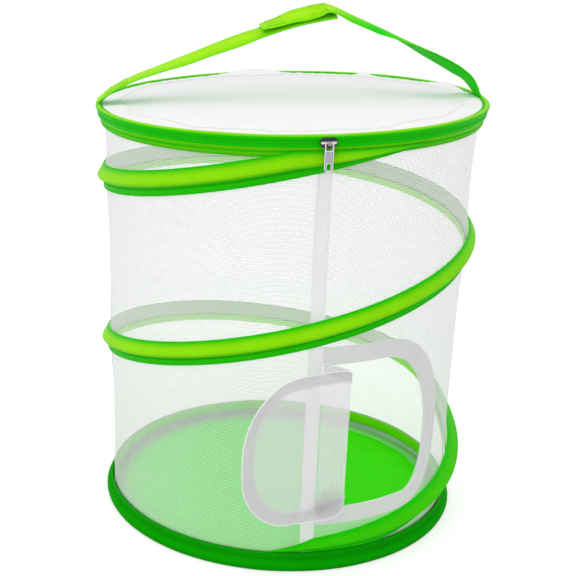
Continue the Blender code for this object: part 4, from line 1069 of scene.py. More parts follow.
def sleeve_section(levels, outside, puff):
    """Closed section of a sleeve: sewn hem, groove and pointed bulge, with the painted light at each point.
    """
    low, foot, high, room = levels
    hem, tall, middle = foot - low, high - foot, (foot + high) / 2
    at_low, at_foot = over_collar(low), over_collar(foot)
    fullness = min(room * FILLS_FROM, 1.0) * puff
    stand = (outside - at_foot - CLOTH) * fullness
    line = [
        (at_low + CLOTH + 0.0001, low, 0.03),
        (at_low + CLOTH + 0.0003, low + hem * 0.3, 0.06),
        (at_foot + CLOTH + 0.0002, low + hem * 0.8, 0.04),
        (at_foot + CLOTH - 0.0001, foot, 0.0),
    ]
    for share in SLEEVE_SHARES:
        z = foot + tall * share
        # Painted highlight over the bulge, by the height in the section
        highlight = linear_at(SLEEVE_HIGHLIGHT, share) * fullness
        line.append((over_collar(z) + CLOTH + stand * smooth_at(SLEEVE_STAND, share), z, highlight))
    line.append((over_collar(high) + CLOTH, high, 0.0))
    # The inner rows take the painted backlight
    return smooth_curve(line, 2) + [
        (over_collar(high), high, 0.1),
        (over_collar(high - 0.001), high - 0.001, LIT),
        (over_collar(middle) + stand * 0.2, middle, LIT),
        (at_foot, foot + tall * 0.12, LIT),
        (at_foot - 0.0004, foot, 0.02),
        (at_low - 0.0004, low + hem * 0.3, 0.02),
        (at_low - 0.0002, low, 0.02),
    ]


def build_spring_sleeve():
    count = int((SPRING_TURNS - SPRING_HEAD) * sizes().ring_steps)
    place, width, most = SIDE_BULGE
    rows, tones = [], []
    hems = [[], []]
    for turns in steps(SPRING_HEAD, SPRING_TURNS, count):
        azimuth = spring_azimuth(turns)
        levels = spring_levels(turns)
        outside = SLEEVE_OUTSIDE + most * bell(turns - place, width)
        section = sleeve_section(levels, outside, min(1.0 + 0.04 * ripple(azimuth, turns * 3), 1.03))
        rows.append([polar(r, azimuth, z) for r, z, _ in section])
        # pull is the painted highlight's strength at this turn; the inner rows keep their painted backlight
        pull = linear_at(SPRING_HIGHLIGHT, turns)
        tones += [LIT if tone == LIT else min(tone, 1.0) * pull for _, _, tone in section]
        if levels[3] > 0.9:
            for line, share in zip(hems, (0.22, 0.82)):
                z = levels[0] + (levels[1] - levels[0]) * share
                line.append(polar(over_collar(z) + 0.00105, azimuth, z))
    sleeve = skin("spring_sleeve_cloth", rows, finish("green cloth"), tones=tones)
    keep_with(sleeve, "base", "green_cloth", "spring_sleeve", collapses=True)
    sew("spring_sleeve_stitches", hems, "green thread", "base", "green_cloth", collapses=True)


def build_spring_wire():
    """The spring inside its sleeve, where the sleeve stands out most."""
    low, high = node_levels("bottom_hoop_wire")
    thick = (high - low) / 2
    line = []
    for turns in steps(0.0, SPRING_TAIL, int(SPRING_TAIL * sizes().ring_steps)):
        _, foot, high, room = spring_levels(turns)
        z = foot + (high - foot) * WIRE_SHARE
        base = over_collar(z) + CLOTH
        stand = (SLEEVE_OUTSIDE - base) * min(room * FILLS_FROM, 1.0)
        line.append(polar(base + stand - thick - CLOTH, spring_azimuth(turns), z))
    wire = tube("spring_wire_round", line, thick, finish("spring steel"))
    keep_with(wire, "base", "spring_steel", "spring_wire", collapses=True)


def build_spring_stay():
    """The strip inside the net, with painted light on the side that faces into the cage."""
    inside, outside = NET_OUTSIDE - 0.0014, NET_OUTSIDE - 0.0009
    rows = []
    for turns in steps(0.0, SPRING_TURNS, int(SPRING_TURNS * sizes().ring_steps / 2)):
        low, _, high, _ = spring_levels(turns)
        foot = low + 0.0003
        head = min(foot + 0.0055, high)
        corners = ((inside, foot), (outside, foot), (outside, head), (inside, head))
        rows.append([polar(r, spring_azimuth(turns), z) for r, z in corners])
    stay = skin("spring_stay_cloth", rows, finish("green cloth"), tones=[1.35, 0.5, 0.5, 1.35] * len(rows))
    keep_with(stay, "base", "green_cloth", "spring_stay_tape", collapses=True)


def build_bottom():
    top = BOTTOM_SLEEVE_TOP
    hem = top - SLEEVE_HEM
    wall, tucked = NET_OUTSIDE + SLEEVE_LIFT, NET_OUTSIDE - 0.0001
    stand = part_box("bottom_sleeve")[1][0] - wall - 0.0008
    # Tones: a faint painted highlight on the bulge
    line = [
        (tucked, 0.0, 0.0),
        (wall + stand * 0.4, 0.0, 0.0),
        (wall + stand * 0.78, 0.0004, 0.0),
        (wall + stand * 0.97, 0.0022, 0.02),
        (wall + stand, 0.0042, 0.06),
        (wall + stand * 0.9, 0.0060, 0.12),
        (wall + stand * 0.58, 0.0078, 0.08),
        (wall + 0.0010, hem - 0.0002, 0.0),
        (wall + 0.0006, hem + 0.0004, 0.0),
        (wall + 0.0011, hem + 0.0014, 0.03),
        (wall + 0.0010, top - 0.0004, 0.03),
        (wall + 0.0005, top, 0.0),
    ]
    inner = [(wall, top, 0.0), (wall, hem, 0.0), (wall + stand * 0.3, 0.004, 0.0), (tucked, 0.0006, 0.0)]
    cloth = finish("green cloth near the ground")
    sleeve = ring("bottom_sleeve_cloth", smooth_curve(line, 3) + inner, cloth, 0.0006)
    keep_with(sleeve, "base", "green_cloth", "bottom_sleeve")
    lines = [round_line(wall + 0.00115, z) for z in (hem + 0.0012, top - 0.0012)]
    sew("bottom_sleeve_stitches", lines, "green thread", "base", "green_cloth")

    inside, outside = NET_OUTSIDE - 0.0013, NET_OUTSIDE - 0.0009
    low, high = node_levels("bottom_stay_tape")
    low -= 0.0035
    # The inner faces take painted light, lightest on the side that faces into the cage
    profile = [(inside, low, 0.25), (outside, low, 0.1), (outside, high, 0.1), (inside, high, 0.6)]
    stay = ring("bottom_stay_cloth", profile, finish("green cloth"))
    keep_with(stay, "base", "green_cloth", "bottom_stay_tape")


def build_floor_seam():
    """The turned-in edge where floor and wall are sewn, uneven as it was cut."""
    low, high = node_levels("floor_seam_allowance")
    outer = NET_OUTSIDE - 0.0015

    def section(azimuth):
        inner = outer - 0.010 - 0.0014 * ripple(azimuth, 2.2, (7, 19, 31))
        lift = 0.0006 + 0.0007 * ripple(azimuth, 0.4, (9, 23, 41))
        return [(inner, low + lift), (outer, low), (outer, high), (inner, high + lift)]

    allowance = turned("floor_seam_edge", section, finish("floor seam edge"))
    keep_with(allowance, "base", "white_tape", "floor_seam_allowance")


def disc_uv(front):
    """Marks a disc's cloth by its place in plan."""

    def uv_at(i, j):
        p = front[i % len(front)][j]
        return (p.x, p.y)

    return uv_at


def build_floor():
    rings = 40
    radius = NET_OUTSIDE - 0.0006
    folds = ((0.3, 0.07, 0.5), (-0.5, 0.02, 0.4), (0.9, -0.05, 0.35))

    def height(x, y):
        slow = 0.5 + 0.5 * math.sin(21 * x + 9 * y + 0.4) * math.sin(33 * y - 14 * x)
        fold = sum(share * bell(x - lean * y - place, 0.004) for lean, place, share in folds)
        return (0.0004 * slow + 0.0004 * fold) * min((radius - math.hypot(x, y)) / 0.02, 1.0)

    front, back = [], []
    for azimuth in round_azimuths(sizes().ring_steps // 2):
        places = [polar(radius * k / rings, azimuth, 0.0) for k in range(1, rings + 1)]
        front.append([Vector((p.x, p.y, FLOOR_TOP - 0.0002 + max(height(p.x, p.y), 0.0))) for p in places])
        back.append([Vector((p.x, p.y, 0.0001)) for p in places])
    floor = thin_sheet("floor_cloth_panel", front, back, finish("floor cloth"), True, uv_at=disc_uv(front))
    close_holes(floor)
    keep_with(floor, "base", "floor_cloth", "floor_panel")


# Collar and lid
def build_collar():
    low, high = COLLAR_FOOT, COLLAR_TOP
    hem = low + 0.0034
    at_low, at_hem, at_high = collar_radius(low), collar_radius(hem), collar_radius(high)
    # Tones: a painted highlight on the band, faint in the groove at its hem
    line = [
        (at_low + 0.0001, low, 0.1),
        (at_low + 0.0005, low + 0.0006, 0.32),
        (at_hem + 0.0004, hem - 0.0006, 0.4),
        (at_hem - 0.0003, hem, 0.05),
        (at_hem + 0.0001, hem + 0.0008, 0.25),
        (at_high - 0.0006, high - 0.0025, 0.4),
        (at_high - 0.0001, high, 0.15),
    ]
    inner = [(at_high - 0.0008, high, 0.0), (at_hem - 0.0009, hem, 0.0), (at_low - 0.0007, low, 0.0)]
    band = ring("collar_cloth", smooth_curve(line, 3) + inner, finish("green cloth"), 0.0004)
    keep_with(band, "collar", "green_cloth", "collar_band")
    lines = [round_line(collar_radius(z) + 0.00055, z) for z in (low + 0.0012, hem - 0.0009)]
    sew("collar_stitches", lines, "green thread", "collar", "green_cloth")


def lid_height(radius, azimuth):
    """The lid's net: a slight crown, wrinkles from the rim, and folds that stand over it at the back."""
    share = radius / LID_EDGE
    crown = 0.0022 * (1 - share**4)
    edge = min((LID_EDGE - radius) / 0.004, 1.0)
    gathers = 0.0008 * bell(radius - LID_EDGE + 0.012, 0.010) * ripple(azimuth, 1.3, (13, 29, 47))
    fine = 0.0003 * math.exp(-(LID_EDGE - radius) / 0.03) * math.sin(90 * azimuth + 160 * radius)
    degrees = math.degrees(azimuth % math.tau)
    hump = sum(tall * bell(degrees - centre, wide) for centre, wide, tall in LID_FOLDS)
    at_rim = bell(radius - LID_EDGE + 0.0055, 0.0040)
    return LID_UNDERSIDE + (crown + gathers + fine + hump * at_rim) * max(edge, 0.0)


def lid_disc(name, inner_at, outer, lift, material, rings):
    azimuths = round_azimuths(sizes().ring_steps)
    places = [steps(inner_at(a), outer, rings) for a in azimuths]

    def side(more):
        return [
            [polar(r, a, lid_height(r, a) + lift + more) for r in radii]
            for a, radii in zip(azimuths, places)
        ]

    front = side(sizes().net_thickness * 0.8)
    return thin_sheet(name, front, side(0.0), material, True, uv_at=disc_uv(front))


def build_lid():
    net = lid_disc("lid_net_cloth", lambda a: 0.002, LID_EDGE, 0.0, finish("lid net"), 52)
    close_holes(net)
    keep_with(net, "lid", "white_net", "lid_net")

    def hem_inner(azimuth):
        return LID_EDGE - 0.016 - 0.004 * ripple(azimuth, 0.6, (3, 8, 13))

    hem = lid_disc("lid_hem_cloth", hem_inner, LID_EDGE - 0.001, 0.0007, finish("hem net"), 9)
    keep_with(hem, "lid", "white_tape", "lid_hem")
    line = []
    for azimuth in steps(0, math.tau, 288):
        radius = hem_inner(azimuth) + 0.0015
        line.append(polar(radius, azimuth, lid_height(radius, azimuth) + 0.0012))
    sew("lid_hem_stitches", [line], "white thread", "lid", "white_net")


def build_piping():
    """A round of cloth over the hoop, with the flat leg by which it is sewn to the lid."""
    radius, leg, half = 0.0021, HOOP_RADIUS - 0.0034, 0.00105
    profile = [
        (leg, PIPING_HEIGHT - half * 0.6, 0.0),
        (leg + 0.0003, PIPING_HEIGHT - half, 0.0),
        (leg + 0.0016, PIPING_HEIGHT - half * 1.05, 0.0),
    ]
    for k in range(19):
        angle = math.radians(-118 + 236 * k / 18)
        # Painted highlight on the upper side of the round
        highlight = unit((math.sin(angle) - 0.25) / 0.55) * 0.85
        r = HOOP_RADIUS - 0.0001 + radius * math.cos(angle)
        profile.append((r, PIPING_HEIGHT + radius * math.sin(angle), highlight))
    profile += [
        (leg + 0.0016, PIPING_HEIGHT + half * 1.05, 0.2),
        (leg + 0.0003, PIPING_HEIGHT + half, 0.0),
        (leg, PIPING_HEIGHT + half * 0.6, 0.0),
    ]
    piping = ring("lid_piping_cloth", profile, finish("green cloth"), 0.0007)
    keep_with(piping, "lid", "green_cloth", "lid_piping")
    seam = [round_line(leg + 0.0012, PIPING_HEIGHT + half * 1.1 + 0.0001)]
    sew("lid_piping_stitches", seam, "green thread", "lid", "green_cloth")


# Zip
def build_zip_chains():
    """Both halves of the zip, each a folded tape with the teeth that meet at its line."""
    reach = math.radians(ZIP_REACH_DEGREES)
    count = int(sizes().ring_steps * 2 * ZIP_REACH_DEGREES / 360)
    azimuths = steps(-math.pi / 2 - reach, -math.pi / 2 + reach, count)
    outer, inner = COLLAR_TOP_RADIUS + 0.00025, COLLAR_TOP_RADIUS - 0.0010
    foot, edge = COLLAR_TOP - 0.0016, ZIP_LINE - ZIP_SLIT
    lower = [
        (outer - 0.0003, foot), (outer, foot + 0.0008), (outer, edge), (inner, edge),
        (inner - 0.0024, foot - 0.005), (inner - 0.0020, foot - 0.005), (inner + 0.0003, foot),
    ]
    edge, top = ZIP_LINE + ZIP_SLIT, PIPING_HEIGHT - 0.0012
    upper = [
        (outer, edge), (outer, edge + 0.0008), (outer - 0.0007, top), (inner - 0.0028, top),
        (inner - 0.0028, top - 0.0004), (inner, top - 0.0006), (inner, edge),
    ]
    pitch = sizes().tooth_pitch
    for name, node, body, profile, side in (
        ("zip_lower_half", "zip_collar_chain", "collar", lower, -1),
        ("zip_upper_half", "zip_lid_chain", "lid", upper, 1),
    ):
        chain = turned(name, lambda azimuth: profile, finish("green cloth"), azimuths)
        keep_with(chain, body, "green_zip", node)
        line = [polar(outer - 0.0002, a, ZIP_LINE + side * 0.0002) for a in azimuths]
        teeth = bead_run(name + "_teeth", [line], finish("green thread"), pitch, 0.0008, pitch * 0.55)
        keep_with(teeth, body, "green_zip")


# Strap
def strap_line(table, start, stop):
    """Places along a strap, each with how far it is twisted there."""
    heights = [(x, z) for x, z, _ in table]
    twists = [(x, twist) for x, _, twist in table]
    return [
        (HOOP_RADIUS * s, STRAP_BASE + STRAP_RISE * smooth_at(heights, s), smooth_at(twists, s))
        for s in steps(start, stop, STRAP_STEPS)
    ]


def strap_frame(line, index):
    """Middle, across and upward directions of a strap at one of its places."""
    x, z, twist = line[index]
    before, after = line[max(index - 1, 0)], line[min(index + 1, len(line) - 1)]
    run = Vector((after[0] - before[0], 0.0, after[1] - before[1])).normalized()
    spin = Matrix.Rotation(math.radians(twist), 3, run)
    return Vector((x, 0.0, z)), spin @ Vector((0.0, 1.0, 0.0)), spin @ Vector((-run.z, 0.0, run.x))


def strap_rows(line, curls):
    """Crowned sections of webbing, with the painted highlight of each point of the top face."""
    rows, tones = [], []
    half, thick = STRAP_WIDTH / 2, STRAP_THICKNESS / 2
    shares = [-1 + 2 * k / 14 for k in range(15)]
    for i in range(len(line)):
        middle, across, up = strap_frame(line, i)
        curl = linear_at(curls, line[i][0] / HOOP_RADIUS)

        def place(share, off):
            near = max(0.3 - share, 0.0) / 1.3
            out = half * (share + 0.12 * curl / 0.006 * near)
            return middle + across * out + up * (off - curl * near**1.6)

        def edge(share):
            return math.sqrt(max(1 - abs(share) ** 8, 0.04))

        under = [place(share, -thick * edge(share)) for share in shares]
        over = [place(s, thick * edge(s) + 0.0005 * (1 - s * s)) for s in reversed(shares)]
        rows.append(under + over)
        # The underside has no painted light; the top face is lighter towards its middle, with painted shade
        # where its near edge curls down
        tones += [0.0] * len(shares)
        for share in reversed(shares):
            shaded = min(max(0.25 - share, 0.0) * 2.2, 1.0) * min(curl / 0.003, 1.0)
            tones.append((0.85 - 0.45 * share * share) * (1 - shaded))
    return rows, tones


def strap_stitches(line, start, stop, low=-0.7, high=0.7):
    """Lines of a sewn box with its cross between two places along a strap, on its top face."""

    def spot(index, share):
        middle, across, up = strap_frame(line, index)
        off = STRAP_THICKNESS / 2 + 0.0006 * (1 - share**4) + 0.0001
        return middle + across * (STRAP_WIDTH / 2 * share) + up * off

    lines = [[spot(i, side) for i in range(start, stop + 1)] for side in (low, high)]
    lines += [[spot(i, low + (high - low) * k / 6) for k in range(7)] for i in (start, stop)]
    for first, last in ((low, high), (high, low)):
        places = [start + round((stop - start) * k / 6) for k in range(7)]
        lines.append([spot(i, first + (last - first) * k / 6) for k, i in enumerate(places)])
    return lines


def build_strap():
    left = strap_line(LEFT_STRAP, -1.0, 0.224)
    right = strap_line(RIGHT_STRAP, -0.156, 1.0)
    for name, line, curls, side, boxes in (
        ("left", left, LEFT_CURL, -1.0, ((4, 14), (80, 90))),
        ("right", right, RIGHT_CURL, 1.0, ((3, 10), (24, 31), (97, 107))),
    ):
        rows, tones = strap_rows(line, curls)
        strap = skin(f"carry_strap_{name}_web", rows, finish("green webbing"), tones=tones)
        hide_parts(f"carry_strap_{name}", f"strap_end_{name}")
        lines = [sewn for first, last in boxes for sewn in strap_stitches(line, first, last)]
        stitches = stitch_run(f"carry_strap_{name}_stitches", lines, "webbing thread")
        for piece in (strap, stitches):
            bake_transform(piece)


# Door flap
def flap_frames():
    """The crease's place, and the directions along and off the flap on both sides of it."""
    azimuth = wall_azimuth(FLAP_CREASE)
    radius = NET_OUTSIDE + 0.004
    out = Vector((math.cos(azimuth), math.sin(azimuth), 0.0))
    origin = out * radius
    right = Vector((-out.y, out.x, 0.0))
    seam = Vector((math.cos(SEAM_AZIMUTH), math.sin(SEAM_AZIMUTH), 0.0)) * (radius - 0.0019)
    root = (seam - origin).normalized()
    slant = math.radians(8.0)
    left = -right * math.cos(slant) + out * math.sin(slant)
    return origin, root, Vector((-root.y, root.x, 0.0)), left, Vector((-left.y, left.x, 0.0))


def flap_wave(along, height):
    """Soft unevenness of the folded flap, zero at its crease."""
    away = min(abs(along - FLAP_CREASE) / 0.02, 1.0)
    wave = math.sin(along * 90 + height * 40) * 0.5 + math.sin(height * 110 - along * 30) * 0.5
    level = (height - DOOR_BOTTOM) / (DOOR_TOP - DOOR_BOTTOM)
    pucker = math.exp(-(((along - 0.062) / 0.022) ** 2) - max(level, 0.0) * 7)
    tuck = math.exp(-(((along - 0.045) / 0.02) ** 2) - max(1 - level, 0.0) * 9)
    fine = 0.0011 * pucker * math.sin(along * 520 + height * 260)
    fine += 0.0006 * tuck * math.sin(along * 300 - height * 500)
    return away * (0.0008 * wave + fine)


def flap_spot(along, height, off, folded):
    """A point off the flap, on its side away from the wall; past the crease the flap is folded back."""
    origin, root, root_out, left, left_out = flap_frames()
    if folded:
        spot = origin + left * (along - FLAP_CREASE) + left_out * (off + flap_wave(along, height))
    else:
        spot = origin + root * (FLAP_CREASE - along) + root_out * (-off + flap_wave(along, height))
    return Vector((spot.x, spot.y, height))


def flap_upper(along, inset=0.0):
    """Upper edge of the flap, which droops towards its crease."""
    share = min(along / FLAP_CREASE, 1.0)
    corner = 0.0028 * math.exp(-abs(along - FLAP_CREASE) / 0.003)
    droop = FLAP_DROOP * share * share * (3 - 2 * share) + corner
    wide, tall = FLAP_SHOULDER
    left = round_off((along - FLAP_END + wide) / (wide - inset))
    return DOOR_TOP + FLAP_OVERLAP - droop - inset - (tall - inset) * (1 - left)


def flap_lower(along, inset=0.0):
    away = along - FLAP_CREASE
    lift = 0.0045 * math.exp(-abs(away) / 0.003) - 0.003 * bell(away - 0.015, 0.014)
    wide, tall = FLAP_HEEL
    left = round_off((along - FLAP_END + wide) / (wide - inset))
    return DOOR_BOTTOM - FLAP_OVERLAP + lift + inset + (tall - inset) * (1 - left)


def flap_places(start, end, inset=0.0):
    """Places along a slice, close together where the flap's end turns upright."""
    if end is None:
        return closing_steps(start, FLAP_END - inset - start, 30)
    return steps(start, end, 16)


def flap_sheet(name, start, end, folded, off, thickness, material, band=None):
    """A slice of the flap between two places, or its hem when band gives the width there."""
    places = flap_places(start, end)
    if end is None:
        places[-1] -= 0.0001
        if band:
            places = sorted(set(places + [FLAP_END - band]))
    counts = (4, 14, 4)
    heights = []
    for along in places:
        low, high = flap_lower(along), flap_upper(along)
        if band is None:
            marks = [low, low + (high - low) / 6, high - (high - low) / 6, high]
        else:
            inside = min(along, FLAP_END - band)
            edges = flap_lower(inside, band * 1.25), flap_upper(inside, band)
            marks = [low, *(min(max(edge, low), high) for edge in edges), high]
        heights.append(steps_between(marks, counts))

    def side(more):
        return [[flap_spot(s, z, off + more, folded) for z in zs] for s, zs in zip(places, heights)]

    def hole(i, j):
        if band is None or places[i + 1] > FLAP_END - band + SLIVER:
            return False
        return counts[0] <= j < counts[0] + counts[1]

    def uv_at(i, j):
        """The flap is cut aslant to the wall's net."""
        return (places[i] * 0.82 - heights[i][j] * 0.57, places[i] * 0.57 + heights[i][j] * 0.82)

    return thin_sheet(name, side(thickness), side(0.0), material, False, hole, uv_at)


def build_door_flap():
    lift, thick = FLAP_BEAD
    for label, low, high, folded, body, edges in (
        ("root", SEAM_HALF, FLAP_CREASE, False, "base", ("_upper", "_lower")),
        ("middle", FLAP_CREASE, FLAP_BEND, True, "door_middle", ("_upper", "_lower")),
        ("tip", FLAP_BEND, None, True, "door_tip", ("",)),
    ):
        net = flap_sheet(f"door_{label}_net", low, high, folded, *FLAP_NET, finish("flap net"))
        keep_with(net, body, "white_net", f"door_net_{label}", collapses=True)
        cloth = finish("flap hem net")
        hem = flap_sheet(f"door_{label}_hem", low, high, folded, *FLAP_HEM_CLOTH, cloth, FLAP_HEM)
        keep_with(hem, body, "white_tape", *(f"door_tape_{label}{edge}" for edge in edges), collapses=True)
        places = steps(low, FLAP_END if high is None else high, 60)
        tall = sum(flap_upper(s) - flap_lower(s) for s in places) / len(places)
        rim = flap_places(low, high)
        lines = [
            [flap_spot(s, flap_upper(s) - 0.0003, lift, folded) for s in rim],
            [flap_spot(s, flap_lower(s) + 0.0003, lift, folded) for s in rim],
        ]
        if high is None:
            lines = [lines[0][:-1] + lines[1][::-1][1:]]
        for edge, line in zip(edges, lines):
            bead = tube(f"door_{label}_bead{edge}", line, thick, finish("flap edge tape"))
            keep_with(bead, body, "white_tape", collapses=True)
        inner = flap_places(low, high, FLAP_HEM)
        rows = [
            [flap_spot(s, flap_upper(s, FLAP_HEM - 0.001), FLAP_STITCH_LIFT, folded) for s in inner],
            [flap_spot(s, flap_lower(s, FLAP_HEM * 1.25 - 0.001), FLAP_STITCH_LIFT, folded) for s in inner],
        ]
        sew(f"door_{label}_stitches", rows, "white thread", body, "white_tape", collapses=True)


def build_hooks():
    """Stiff little hooks on the patch at the flap's lower corner."""
    middle = sum(node_levels("door_hook_patch")) / 2
    places = steps(0.042, 0.050, 8)
    heights = [middle - 0.0060 + 0.001 * k for k in range(6)]
    lines = [[flap_spot(s, height, FLAP_HOOK_LIFT, True) for s in places] for height in heights]
    hooks = bead_run("door_hook_patch_hooks", lines, finish("hook thread"), 0.0017, 0.0004, 0.0007)
    keep_with(hooks, "door_middle", "white_tape", collapses=True)


# Steel that the sleeves hide, and small cloth pieces that keep their CAD shape
def paint_node(name, finish_name):
    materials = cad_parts[name].data.materials
    materials.clear()
    materials.append(finish(finish_name))


def build_metal():
    for hoop in ("bottom_hoop", "top_hoop"):
        for part in ("wire", "ferrule"):
            paint_node(f"{hoop}_{part}", "spring steel")
    for side in ("left", "right"):
        paint_node(f"zip_stop_{side}", "spring steel")
    paint_node("lid_hinge_tab", "green cloth tab")
    paint_node("door_hook_patch", "hook patch")


# Zip slider and pull, as relief plates that stand on the zip's line
def slider_point(across, height, out):
    """A place beside the slider's middle, at a height and at a distance from the cage's axis."""
    side = Vector((-math.sin(SLIDER_AZIMUTH), math.cos(SLIDER_AZIMUTH), 0.0))
    return polar(out, SLIDER_AZIMUTH, height) + side * across


def relief(name, levels, half_width, front, back, material, counts, hole=None):
    """A plate with a shaped face: half_width gives its outline, and front its relief and painted highlight.
    """
    low, high = levels
    columns, rows = counts
    shares = [-1 + 2 * i / columns for i in range(columns + 1)]
    heights = [low + (high - low) * (0.5 - 0.5 * math.cos(math.pi * j / rows)) for j in range(rows + 1)]
    faces = [[slider_point(half_width(z) * s, z, front(s, z)[0]) for z in heights] for s in shares]
    backs = [[slider_point(half_width(z) * s, z, back) for z in heights] for s in shares]
    tones = [front(s, z)[1] for s in shares for z in heights] + [0.0] * (len(shares) * len(heights))

    def cut(i, j):
        return hole is not None and hole((shares[i] + shares[i + 1]) / 2, (heights[j] + heights[j + 1]) / 2)

    def uv_at(i, j):
        return (half_width(heights[j]) * shares[i], heights[j])

    return thin_sheet(name, faces, backs, material, False, cut, uv_at, tones)


def rounded(height, low, high, half, radius, top_radius=None):
    """Half width of an outline whose corners are round."""
    for gap, r in ((height - low, radius), (high - height, top_radius or radius)):
        if gap < r:
            return half - r + math.sqrt(max(r * r - (r - max(gap, 0.0)) ** 2, 0.0)) + 0.00002
    return half


def build_slider():
    """The slider's body and the arch that holds its pull."""
    dark = finish("dark plated metal")
    inner, half, reach = 0.1486, 0.0055, 0.1542
    low, high = node_levels("zip_slider")
    middle = (low + high) / 2 - 0.0002

    def face(share, z):
        up = (z - middle) / ((high - low) / 2)
        dome = math.sqrt(max(1 - 0.75 * up * up, 0.0)) * (1 - 0.35 * abs(share) ** 3)
        # The ridge is a painted highlight band along the slider's face
        ridge = bell(up - 0.05, 0.2) * (1 - share**6)
        return inner + 0.0014 + 0.0012 * dome + 0.0004 * ridge, min(ridge * 1.2, 1.0)

    def outline(z):
        return rounded(z, low, high, half, 0.0026)

    body = relief("zip_slider_body", (low, high), outline, face, inner, dark, (22, 26))
    keep_with(body, "zip_slider", "slider_metal", "zip_slider")

    foot, head = node_levels("zip_slider_bridge")

    def arch(share, z):
        up = (2 * z - foot - head) / (head - foot)
        rise = math.sqrt(max(1 - up**4, 0.0))
        out = inner + 0.0027 + (reach - inner - 0.0027) * rise * (1 - 0.12 * share * share)
        # A painted highlight along the top of the arch
        return out, 0.05 + 0.25 * rise**4

    bridge = relief(
        "zip_slider_arch", (foot, head - 0.0008), lambda z: 0.0011, arch, inner + 0.0022, dark, (10, 18)
    )
    keep_with(bridge, "zip_slider", "slider_metal", "zip_slider_bridge")


def build_pull():
    """The ribbed pull, with a slot at its foot and a window at its head."""
    bottom, top = node_levels("zip_pull_tab")
    depth, wide = 0.1516, 0.0030

    def outline(z):
        return rounded(z, bottom, top, wide, 0.0026, 0.0012)

    def from_slot(share, z):
        """Distance from the middle line of the slot at the pull's foot."""
        return math.hypot(share * wide, z - min(max(z, bottom + 0.0026), bottom + 0.0044))

    def face(share, z):
        # Tones: a painted highlight on the rim, bar and slot edges, and on the crest of each rib
        rim = abs(share) > 0.76 or z < bottom + 0.0008 or z > top - 0.0007
        bar = top - 0.0060 < z < top - 0.0050
        if rim or bar or from_slot(share, z) < 0.0020:
            return depth + 0.00135, 0.75
        groove = 0.5 + 0.5 * math.cos(share * 9 * math.pi)
        return depth + 0.00085 + 0.00015 * groove, 0.12 + 0.2 * groove

    def hole(share, z):
        window = abs(share) < 0.62 and top - 0.0048 < z < top - 0.0010
        return window or from_slot(share, z) < 0.0014

    plated = finish("pale plated metal")
    pull = relief("zip_pull_plate", (bottom, top), outline, face, depth, plated, (40, 90), hole)
    keep_with(pull, "zip_pull", "pull_metal", "zip_pull_tab")


# Stage
def build_stage():
    """A world that lights evenly and shows as white, with soft lamps, a floor and the camera."""
    scene = bpy.context.scene
    scene.view_settings.view_transform = "Standard"
    world = bpy.data.worlds.new("studio")
    scene.world = world
    world.use_nodes = True
    tree = world.node_tree
    tree.nodes.clear()
    path = add_node(tree, "ShaderNodeLightPath")
    seen = maths(tree, "MAXIMUM", path.outputs["Is Camera Ray"], path.outputs["Is Glossy Ray"])
    seen = maths(tree, "MAXIMUM", seen, path.outputs["Is Transmission Ray"])
    light = scene.cage_light
    level = maths(tree, "ADD", light.world, maths(tree, "MULTIPLY", seen, 1.0 - light.world))
    back = add_node(tree, "ShaderNodeBackground", {"Color": (1.0, 1.0, 1.0, 1.0), "Strength": level})
    add_node(tree, "ShaderNodeOutputWorld", {0: back.outputs[0]})
    add_lamp("key light", (-1.3, -1.1, 0.75), 2.2, light.key)
    add_lamp("fill light", (1.2, -0.6, 0.7), 0.9, light.fill)
    add_lamp("top light", (0.0, -0.2, 1.6), 1.5, light.top)
    add_floor()
    add_camera()


def add_lamp(name, place, size, strength):
    """A square lamp that points at the middle of the cage."""
    lamp = bpy.data.lights.new(name, "AREA")
    lamp.size = size
    lamp.energy = strength
    made = link(name, lamp)
    made.location = place
    aim = Vector((0.0, 0.0, 0.16)) - Vector(place)
    made.rotation_euler = aim.to_track_quat("-Z", "Y").to_euler()


def add_floor():
    """A pale floor that shows as white to the camera but keeps the cage's shadow."""
    mesh = bpy.data.meshes.new("studio_floor")
    reach = 6.0
    corners = [(x * reach, y * reach, -0.0001) for x, y in ((-1, -1), (1, -1), (1, 1), (-1, 1))]
    mesh.from_pydata(corners, [], [(0, 1, 2, 3)])
    material, tree, shader = new_material(
        "studio floor",
        Roughness=1.0,
        Base_Color=(0.6, 0.6, 0.6, 1.0),
        Specular_IOR_Level=0.0,
        Emission_Color=(1.0, 1.0, 1.0, 1.0),
    )
    path = add_node(tree, "ShaderNodeLightPath")
    seen = maths(tree, "MAXIMUM", path.outputs["Is Camera Ray"], path.outputs["Is Glossy Ray"])
    feed(tree, shader, {"Emission Strength": maths(tree, "MULTIPLY", seen, 0.55)})
    mesh.materials.append(material)
    link("studio_floor", mesh)


def add_camera():
    camera = bpy.data.cameras.new("camera")
    camera.sensor_width = 36.0
    camera.sensor_fit = "HORIZONTAL"
    camera.lens = FOCAL_PIXELS / PHOTO_WIDTH * camera.sensor_width
    camera.shift_x = (PHOTO_WIDTH / 2 - PRINCIPAL_PIXEL[0]) / PHOTO_WIDTH
    camera.shift_y = (PRINCIPAL_PIXEL[1] - PHOTO_WIDTH / 2) / PHOTO_WIDTH
    made = link("camera", camera)
    made.location = CAMERA_PLACE
    tilt = Matrix.Rotation(math.pi / 2 - CAMERA_PITCH, 4, "X") @ Matrix.Rotation(-CAMERA_ROLL, 4, "Z")
    made.rotation_euler = tilt.to_euler()
    bpy.context.scene.camera = made


# Add-on parts
class CAGE_OT_stage(bpy.types.Operator):
    """Camera, lights, backdrop and floor"""

    bl_idname = "cage.stage"
    bl_label = "Stage"

    def execute(self, context):
        build_stage()
        return {"FINISHED"}


